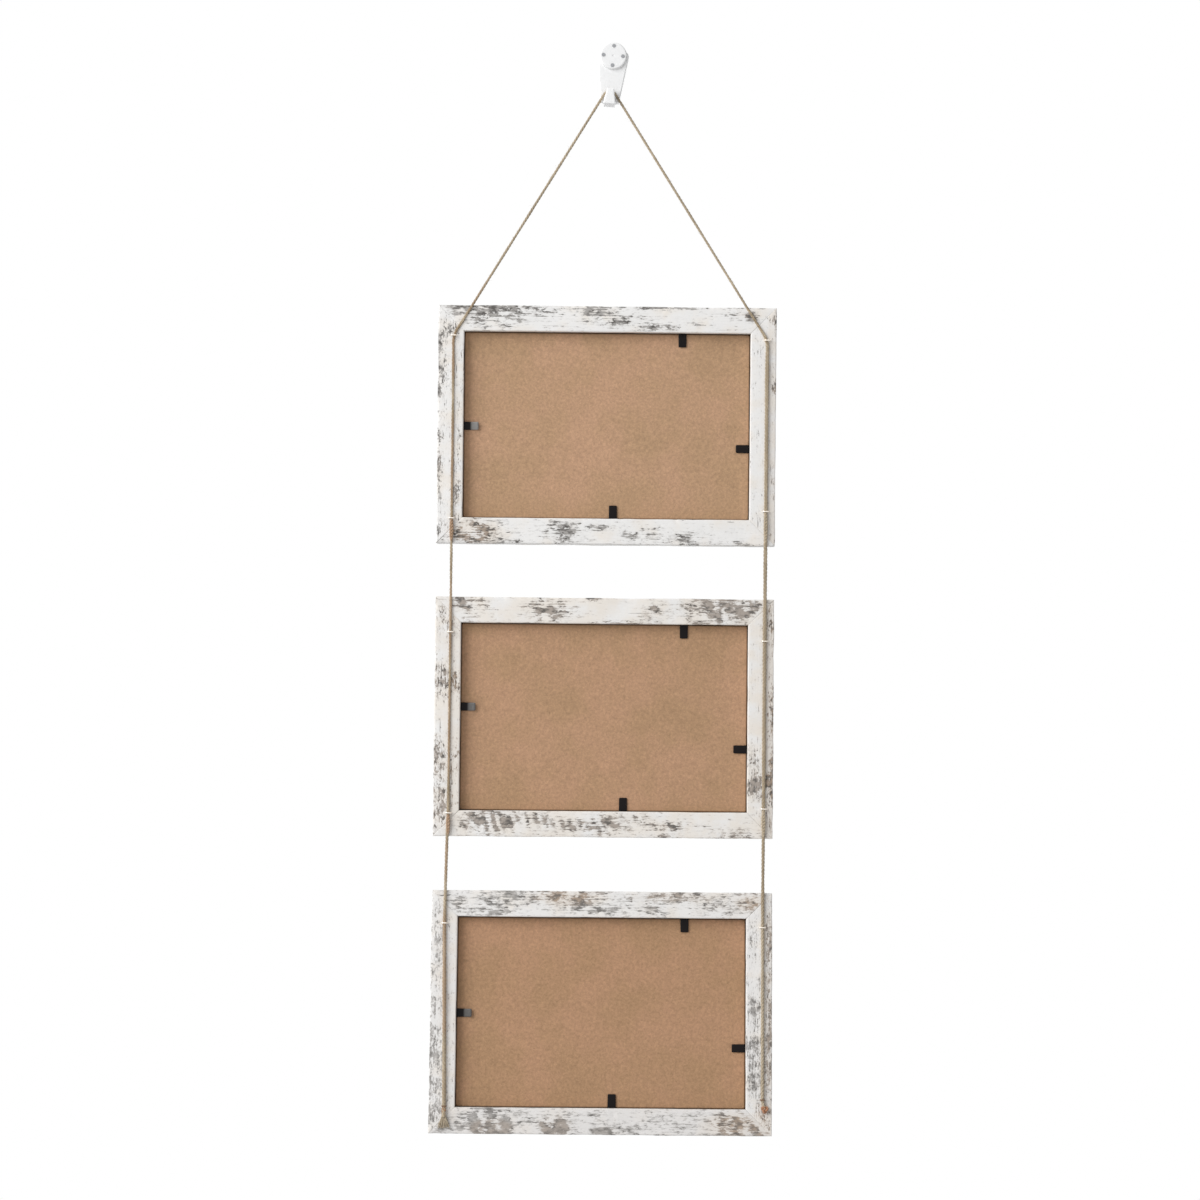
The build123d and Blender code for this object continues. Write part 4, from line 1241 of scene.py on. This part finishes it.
def loosened(line):
    """Where the twine has opened up: on the right from the first staple, on the left from the lower link."""
    down = -line[:, 2]
    right = smooth_step(down, *FIRST_STAPLE) * (1 - 0.5 * smooth_step(down, *LOWER_LINK))
    left = 0.5 * smooth_step(down, *LOWER_LINK) + 0.5 * smooth_step(down, *LOWER_FRAME)
    return np.where(line[:, 0] > 0, right * smooth_step(line[:, 0], *TO_THE_SIDE), left)


def dried(line):
    """How pale the twine is: a little where it opens up and by the hook, more on the lower frame's right."""
    low_right = smooth_step(-line[:, 2], *LOWER_FRAME) * smooth_step(line[:, 0], *TO_THE_SIDE)
    legs = 1 - smooth_step(-line[:, 2], *LEGS_END)
    return DRY_OPEN * loosened(line) + DRY_LOW_RIGHT * low_right + DRY_LEGS * legs


def rubbed_red(line, far):
    """How reddish the twine is: in stretches down the left side."""
    stretches = RED_LEVEL + RED_SPREAD * soft_noise(RED_SEED, far, far * 0, *RED_SPANS)
    return RED_SHARE * (np.clip(stretches, 0, RED_MOST) * smooth_step(-line[:, 0], *TO_THE_SIDE))


def lying(line):
    """Where the twine lies on wood: 1 between a frame's top and bottom edges, 0 between the frames."""
    half = bpy.context.scene.trio_sizes.outer_height / 2
    up = line[:, 2]
    on_wood = np.zeros(len(line))
    for name in FRAMES:
        low, high = frame_to_world(name, np.array([[0, 0, -half], [0, 0, half]]))[:, 2]
        over_low = smooth_step(up, low + EDGE_NEAR, low + EDGE_FULL)
        on_wood = on_wood + over_low * smooth_step(-up, EDGE_FULL - high, EDGE_NEAR - high)
    return on_wood


STRANDS = 3
STRAND_SHARE = 0.54
STRAND_SIDES = 9
PRESSED_FLAT = 0.55
SUNK_ON_WOOD = 0.2 * MM
BREATH_SEED = 7
BREATH_SPANS = (25 * MM, 6 * MM)
BREATH = 0.05
TIGHT = 0.92
OPENING = 0.46


def twine_strands(line, far, sizes):
    """Three strands laid round a line: centre + r (cos p first + sin p second), p turning once per lay.

    The strands' radius and their distance from the centre breathe a little along the twine, and grow where
    it has opened up. On wood the lay is pressed flat, and the thin twine sinks to the wood.
    """
    _, first, second = line_axes(line)
    radius = sizes.diameter / 2
    thick = radius * STRAND_SHARE
    open_up = loosened(line)
    on_wood = lying(line)
    breath = 1 + BREATH * soft_noise(BREATH_SEED, far, far * 0, *BREATH_SPANS)
    breathe = (TIGHT + OPENING * open_up) * breath
    sunk = SUNK_ON_WOOD * (1 - open_up) * on_wood
    middle = line + sunk[:, None] * INTO_WALL
    phase = TURN * far / sizes.lay + TURN / STRANDS * np.arange(STRANDS)[:, None]
    out = ((radius - thick) * breathe)[None, :, None]
    deep = ((1 - PRESSED_FLAT * on_wood) * np.cos(phase))[..., None] * first
    centres = middle[None] + out * (deep + np.sin(phase)[..., None] * second)
    return centres, thick * np.broadcast_to(breathe, phase.shape)


FIBRE_RADIUS = 0.035 * MM
FIBRE_ROOT = 0.44
FIBRE_RINGS = 5
FIBRE_SIDES = 3
FIBRE_DRY = 0.45
FIBRE_LEAN = (0.3, 1.0)
FIBRE_RISE = (0.15, 0.75)
FIBRE_STRAY = (-0.7, 0.7)
FIBRE_REACH = (0.3, 1.0)
FIBRE_THICK = (0.7, 1.3)
FIBRE_TAPER = 0.75
MANY_SHORT = 1.5
ROOM_SIDE = 0.52 * np.pi


def loose_fibres(line, sizes, seed, free):
    """Loose fibres: skin + length (t lean along + t^2 rise outwards + t^3 stray sideways), thin to the tip.

    Where the twine lies on wood the fibres stand out on the room's side only.
    """
    draw = np.random.default_rng(seed)
    tangent, first, second = line_axes(line)
    count = int(sizes.fuzz_per_metre * TWINE_STEP * len(line))
    spot = draw.integers(3, len(line) - 3, count)
    spread = np.pi if free else ROOM_SIDE
    angle = np.pi + draw.uniform(-spread, spread, count)
    out = np.cos(angle)[:, None] * first[spot] + np.sin(angle)[:, None] * second[spot]
    aside = np.cross(tangent[spot], out)
    lean = draw.choice([-1.0, 1.0], count) * draw.uniform(*FIBRE_LEAN, count)
    rise = draw.uniform(*FIBRE_RISE, count)
    stray = draw.uniform(*FIBRE_STRAY, count)
    reach = sizes.fuzz_length * draw.uniform(*FIBRE_REACH, count) ** MANY_SHORT
    t = np.linspace(0, 1, FIBRE_RINGS)[None, :, None]
    skin = line[spot] + out * sizes.diameter * FIBRE_ROOT
    bend = t * lean[:, None, None] * tangent[spot][:, None] + t**2 * rise[:, None, None] * out[:, None]
    bend = bend + t**3 * stray[:, None, None] * aside[:, None]
    centres = skin[:, None] + reach[:, None, None] * bend
    radii = FIBRE_RADIUS * (1 - FIBRE_TAPER * t[..., 0]) * draw.uniform(*FIBRE_THICK, count)[:, None]
    return tube_bundle(centres, radii, FIBRE_SIDES, unit(aside + 0.2 * out)[:, None, :])


STAPLE_PAST = 6.0 * MM
BEND_NEAR = 0.8 * MM
BEND_FAR = 5 * MM
BELOW_ALL = -1.0


def twine_pieces():
    """The twine's pieces: name, side, where it starts and ends in height, its bodies, its node and its bend.

    A bend is a pair of heights beside the joint where the piece passes from its first body to its second.
    """
    half = bpy.context.scene.trio_sizes.outer_height / 2
    pieces = []
    for side in TWINE_X:
        heights = {}
        for name in FRAMES:
            down, up = STAPLE_PLACES[name][side]
            spots = np.array([[0, 0, half - down - STAPLE_PAST], [0, 0, up - half + STAPLE_PAST]])
            heights[name] = frame_to_world(name, spots)[:, 2]
        for above, link, below in zip(FRAMES, ("upper_link", "lower_link"), FRAMES[1:]):
            leave = PIVOTS[f"{link}_swing"][2]
            arrive = PIVOTS[f"{below}_swing"][2]
            middle = (leave + arrive) / 2
            node = f"{link}_twine"
            bend = (leave + BEND_NEAR, leave - BEND_FAR)
            pieces.append((f"{node}_{side}_head", side, heights[above][1], middle, (above, link), node, bend))
            bend = (arrive + BEND_FAR, arrive - BEND_NEAR)
            pieces.append((f"{node}_{side}_foot", side, middle, heights[below][0], (link, below), node, bend))
        for name in FRAMES:
            foot = heights[name][1] if name != "lower_frame" else BELOW_ALL
            node = f"{name}_twine_runs"
            pieces.append((f"{node}_{side}", side, heights[name][0], foot, (name,), node, None))
    return pieces


def add_twine(name, line, far, bodies, node, bend, seed):
    """One length of twine and its fuzz: a piece on one body moves with it, one between two bodies stays where
    it is laid.
    """
    sizes = bpy.context.scene.trio_twine
    points, lay = tube_bundle(*twine_strands(line, far, sizes), STRAND_SIDES)
    dry = np.broadcast_to(dried(line)[:, None], points.shape[:3])
    red = np.broadcast_to(rubbed_red(line, far)[:, None], points.shape[:3])
    piece = make_piece(name, points, jute_fibre, lay=lay, dry=dry, reddish=red)
    points, lay = loose_fibres(line, sizes, seed, len(bodies) > 1)
    fuzz = make_piece(f"{name}_fuzz", points, jute_fibre, lay=lay, dry=FIBRE_DRY)
    for part in (piece, fuzz):
        if bend is None:
            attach(part, bodies[0])
        else:
            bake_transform(part)
    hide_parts(node)


HANGER_SEED = 5


class TRIO_OT_twine(bpy.types.Operator):
    """Lays the jute twine: the loop on the hook, the runs on the frames and the links between them"""

    bl_idname = "trio.twine"
    bl_label = "Jute twine"

    def execute(self, context):
        line, far = twine_line()
        up = line[:, 2]
        crown = int(up.argmax())
        tops = {}
        for name, side, high, low, bodies, node, bend in twine_pieces():
            tops[side] = max(tops.get(side, BELOW_ALL), high)
            on_side = (np.arange(len(line)) <= crown) == (side == "left")
            inside = np.flatnonzero(on_side & (up <= high + TWINE_STEP) & (up >= low - TWINE_STEP))
            span = inside if side == "right" else inside[::-1]
            add_twine(name, line[span], far[span], bodies, node, bend, int(inside[0]))
        start = int(np.flatnonzero(up[:crown + 1] >= tops["left"] - TWINE_STEP)[0])
        end = crown + int(np.flatnonzero(up[crown:] >= tops["right"] - TWINE_STEP)[-1])
        pivot = PIVOTS["upper_frame_swing"][2]
        bend = (pivot + BEND_FAR, pivot - BEND_NEAR)
        bodies = ("hanger", "upper_frame")
        hanger = "hanger_twine"
        add_twine(f"{hanger}_laid", line[start:end], far[start:end], bodies, hanger, bend, HANGER_SEED)
        return {"FINISHED"}


KNOT_RINGS = 60
KNOT_TURN = 5.2 * MM
KNOT_WIDE = 0.62 * MM
KNOT_DEEP = 0.36 * MM
KNOT_OUT = -1.2 * MM
KNOT_STRAND = 0.60 * MM
KNOT_START = 0.08
KNOT_SPAN = 0.88
KNOT_FULL = 0.6


def plaited_knot(top, foot):
    """Knot wrapped down from a staple: three strands over and under each other, drawn together at both ends.

    Offset = swell (wide sin p sideways + deep sin 2p outwards), p a third of a turn apart, swell = sin^0.6.
    """
    s = np.linspace(0, 1, KNOT_RINGS)
    height = top + (foot - top) * s
    swell = np.sin(np.pi * (KNOT_START + KNOT_SPAN * s)) ** KNOT_FULL
    phase = TURN * (top - height) / KNOT_TURN + TURN / STRANDS * np.arange(STRANDS)[:, None]
    aside = KNOT_WIDE * swell * np.sin(phase)
    out = KNOT_OUT + KNOT_DEEP * swell * np.sin(2 * phase)
    centres = np.stack([aside, out, np.broadcast_to(height, phase.shape)], axis=-1)
    return centres, np.broadcast_to(KNOT_STRAND * (0.55 + 0.45 * swell), phase.shape)


END_KNOT_RINGS = 110
END_KNOT_SIZE = 0.55 * MM
END_KNOT_DEEP = 0.62 * MM
END_KNOT_STRAND = 0.66 * MM
END_KNOT_TURN = 2.06 * np.pi


def round_knot():
    """A tight round knot: the trefoil (sin t + 2 sin 2t, cos t - 2 cos 2t), height -sin 3t, past one turn."""
    t = np.linspace(0, END_KNOT_TURN, END_KNOT_RINGS)
    right = END_KNOT_SIZE * (np.sin(t) + 2 * np.sin(2 * t))
    up = END_KNOT_SIZE * (np.cos(t) - 2 * np.cos(2 * t))
    centres = np.stack([right, -END_KNOT_DEEP * np.sin(3 * t), up], axis=-1)[None]
    return centres, np.full((1, len(t)), END_KNOT_STRAND)


TUFT_SEED = 31
TUFT_FIBRES = 150
TUFT_RINGS = 9
TUFT_LENGTH = 8.8 * MM
TUFT_FLARE = 2.8 * MM
TUFT_ROOT = 0.5 * MM
TUFT_OUT = 0.35 * MM
TUFT_STAND = 1.15 * MM
TUFT_WAVE = 0.22 * MM
TUFT_WAVES = (0.5, 1.3)
TUFT_REACH = (0.72, 1.0)
TUFT_FIBRE = 0.13 * MM
TUFT_THICK = (0.7, 1.25)
TUFT_TAPER = 0.45


def frayed_tuft():
    """A frayed end: fibres fan out from one spot: length (t down + flare t^1.4 sideways), softly waved."""
    draw = np.random.default_rng(TUFT_SEED)
    each = (TUFT_FIBRES, 1)
    t = np.linspace(0, 1, TUFT_RINGS)[None, :]
    reach = TUFT_LENGTH * draw.uniform(*TUFT_REACH, each)
    heading = draw.uniform(-1, 1, each)
    stand = draw.uniform(0, 1, each)
    wave = TUFT_WAVE * np.sin(TURN * (draw.uniform(*TUFT_WAVES, each) * t + draw.uniform(0, 1, each)))
    right = TUFT_ROOT * heading + TUFT_FLARE * heading * t**1.4 + wave * t
    out = -(TUFT_OUT + TUFT_STAND * stand * (0.6 + 0.8 * np.sin(np.pi * t * 0.8)))
    centres = np.stack([right, out, -reach * t], axis=-1)
    return centres, TUFT_FIBRE * draw.uniform(*TUFT_THICK, each) * (1 - TUFT_TAPER * t)


KNOT_SIDES = 9
TUFT_SIDES = 5
KNOT_TINTS = {"left": {"reddish": 0.35, "dry": 0.15}, "right": {"dry": 0.42}}
PLAIT_TOP = 0.6 * MM
PLAIT_FOOT = 1.2 * MM
END_PLAIT_TOP = 0.5 * MM
END_PLAIT_FOOT = 4.2 * MM
END_KNOT_SPOT = np.array([1.2, -1.75, -5.1]) * MM
TUFT_SPOT = np.array([0.0, -0.1, -3.2]) * MM


def add_knot(body, end, strands, shift, sides=KNOT_SIDES, **tints):
    """Puts a knot's strands at a place in a frame's axes."""
    centres, radii = strands
    points, lay = tube_bundle(centres + shift, radii, sides)
    node = f"{body}_twine_runs"
    piece = make_piece(f"{node}_{end}", frame_to_world(body, points), jute_fibre, lay=lay, **tints)
    stand_for(piece, body, node)


class TRIO_OT_knots(bpy.types.Operator):
    """Ties the knots under the lower staples, and the two ends of the twine"""

    bl_idname = "trio.knots"
    bl_label = "Knots"

    def execute(self, context):
        half = context.scene.trio_sizes.outer_height / 2
        beside = {side: np.array([x, 0, 0]) for side, x in TWINE_X.items()}
        *upper, lowest = FRAMES
        for name in upper:
            for side, spot in beside.items():
                staple = STAPLE_PLACES[name][side][1] - half
                strands = plaited_knot(staple - PLAIT_TOP, -half + PLAIT_FOOT)
                add_knot(name, f"{side}_knot", strands, spot, **KNOT_TINTS[side])
        staple = np.array([0, 0, STAPLE_PLACES[lowest]["right"][1] - half])
        spot = beside["right"] + staple + END_KNOT_SPOT
        add_knot(lowest, "right_end_knot", round_knot(), spot, reddish=0.82)
        staple = np.array([0, 0, STAPLE_PLACES[lowest]["left"][1] - half])
        strands = plaited_knot(staple[2] - END_PLAIT_TOP, staple[2] - END_PLAIT_FOOT)
        add_knot(lowest, "left_end_knot", strands, beside["left"], reddish=0.55)
        spot = beside["left"] + staple + TUFT_SPOT
        add_knot(lowest, "left_end_tuft", frayed_tuft(), spot, TUFT_SIDES, dry=0.75)
        return {"FINISHED"}


class TRIO_OT_hook(bpy.types.Operator):
    """Dresses the plastic hook and its steel pins"""

    bl_idname = "trio.hook"
    bl_label = "Wall hook"

    def execute(self, context):
        dress_node("hook_body", white_moulded_plastic)
        dress_node("hook_pins", grey_steel)
        return {"FINISHED"}


def turned(*axes):
    """The turn that lays an object's three axes along the given ones."""
    return Matrix(np.column_stack(axes).tolist())


def aim_camera(stage):
    """Camera axes: forward (sin yaw cos pitch, cos yaw cos pitch, sin pitch), turned about it by the roll."""
    yaw, pitch, roll = stage.camera_yaw, stage.camera_pitch, stage.camera_roll
    forward = np.array([np.sin(yaw) * np.cos(pitch), np.cos(yaw) * np.cos(pitch), np.sin(pitch)])
    right = np.array([np.cos(yaw), -np.sin(yaw), 0.0])
    up = np.cross(right, forward)
    side = np.cos(roll) * right + np.sin(roll) * up
    above = -np.sin(roll) * right + np.cos(roll) * up
    return Matrix.Translation(stage.camera_place) @ turned(side, above, -forward).to_4x4()


def light_world(fill):
    """White for the camera and for reflections, and an even fill for everything else."""
    world = bpy.data.worlds.new("white_room")
    bpy.context.scene.world = world
    world.use_nodes = True
    n = NodeBench(world.node_tree)
    rays = n.add("ShaderNodeLightPath").outputs
    seen = n.math("MAXIMUM", rays["Is Camera Ray"], rays["Is Glossy Ray"])
    seen = n.math("MAXIMUM", seen, rays["Is Transmission Ray"])
    back = world.node_tree.nodes["Background"].inputs
    back["Color"].default_value = (1, 1, 1, 1)
    n.feed(back["Strength"], n.gain(seen, 1 - fill, fill))


KEY_PLACE = (-2.0, -1.4, 1.0)
KEY_AIM = (0.0, 0.0, -0.3)
KEY_SIZE = 2.4
VIEW_FAR = 20.0
SENSOR_WIDTH = 36.0
FLOOR_RADIUS = 1.15
FLOOR_CAP = 0.02
FLOOR_RIM = 0.004
FLOOR_THICK = 0.012


def floor_disc(radius, height, rings=24, sides=96):
    """A round floor: radius r and angle a on a grid, with a rounded rim and a flat underside."""
    r = np.concatenate([np.linspace(FLOOR_CAP, 1, rings), [1.0, FLOOR_CAP]]) * radius
    z = height - np.concatenate([np.zeros(rings - 1), [FLOOR_RIM, FLOOR_THICK, FLOOR_THICK]])
    a = round_angles(sides)
    right = r[:, None] * np.cos(a)
    back = r[:, None] * np.sin(a)
    return np.stack([right, back, np.broadcast_to(z[:, None], right.shape)], axis=-1)


class TRIO_OT_stage(bpy.types.Operator):
    """Sets up the camera, the soft light and the pale floor"""

    bl_idname = "trio.stage"
    bl_label = "Stage"

    def execute(self, context):
        scene = context.scene
        stage = scene.trio_stage
        scene.view_settings.view_transform = "Standard"
        lens = bpy.data.cameras.new("view")
        lens.lens = stage.lens
        lens.sensor_width = SENSOR_WIDTH
        lens.clip_end = VIEW_FAR
        camera = bpy.data.objects.new("view", lens)
        camera.matrix_world = aim_camera(stage)
        scene.collection.objects.link(camera)
        scene.camera = camera
        light_world(stage.fill)
        lamp = bpy.data.lights.new("key", "AREA")
        lamp.shape = "DISK"
        lamp.size = KEY_SIZE
        lamp.energy = stage.key_power
        key = bpy.data.objects.new("key", lamp)
        key.location = KEY_PLACE
        away = unit(np.array(key.location) - np.array(KEY_AIM))
        across = unit(np.cross([0.0, 0.0, 1.0], away))
        key.rotation_euler = turned(across, np.cross(away, across), away).to_euler()
        scene.collection.objects.link(key)
        make_piece("floor", floor_disc(FLOOR_RADIUS, stage.floor_height), pale_floor)
        return {"FINISHED"}


STEPS = ("stage", "twine", "knots", "rails", "boards", "tabs", "staples", "hook")
SETTINGS = {
    "trio_sizes": FrameSizes,
    "trio_twine": TwineSizes,
    "trio_finishes": Finishes,
    "trio_stage": StageSettings,
}


class TRIO_PT_panel(bpy.types.Panel):
    """Lists the sizes, the colours and the steps"""

    bl_idname = "TRIO_PT_panel"
    bl_label = "Strung photo frames"
    bl_space_type = "VIEW_3D"
    bl_region_type = "UI"
    bl_category = "Frames"

    def draw(self, context):
        for step in STEPS:
            self.layout.operator(f"trio.{step}")
        for group in SETTINGS:
            settings = getattr(context.scene, group)
            box = self.layout.box()
            for key in settings.__annotations__:
                box.prop(settings, key)


CLASSES = (
    *SETTINGS.values(), TRIO_OT_stage, TRIO_OT_twine, TRIO_OT_knots, TRIO_OT_rails, TRIO_OT_boards,
    TRIO_OT_tabs, TRIO_OT_staples, TRIO_OT_hook, TRIO_PT_panel,
)


def register():
    """Makes the settings, the steps and the panel known."""
    for item in CLASSES:
        bpy.utils.register_class(item)
    for key, group in SETTINGS.items():
        setattr(bpy.types.Scene, key, bpy.props.PointerProperty(type=group))


def unregister():
    """Takes them away again."""
    for key in SETTINGS:
        delattr(bpy.types.Scene, key)
    for item in reversed(CLASSES):
        bpy.utils.unregister_class(item)


def main():
    """Registers the settings, steps and panel, and runs every step in order."""
    register()
    for step in STEPS:
        getattr(bpy.ops.trio, step)()


if __name__ == "__main__":
    main()
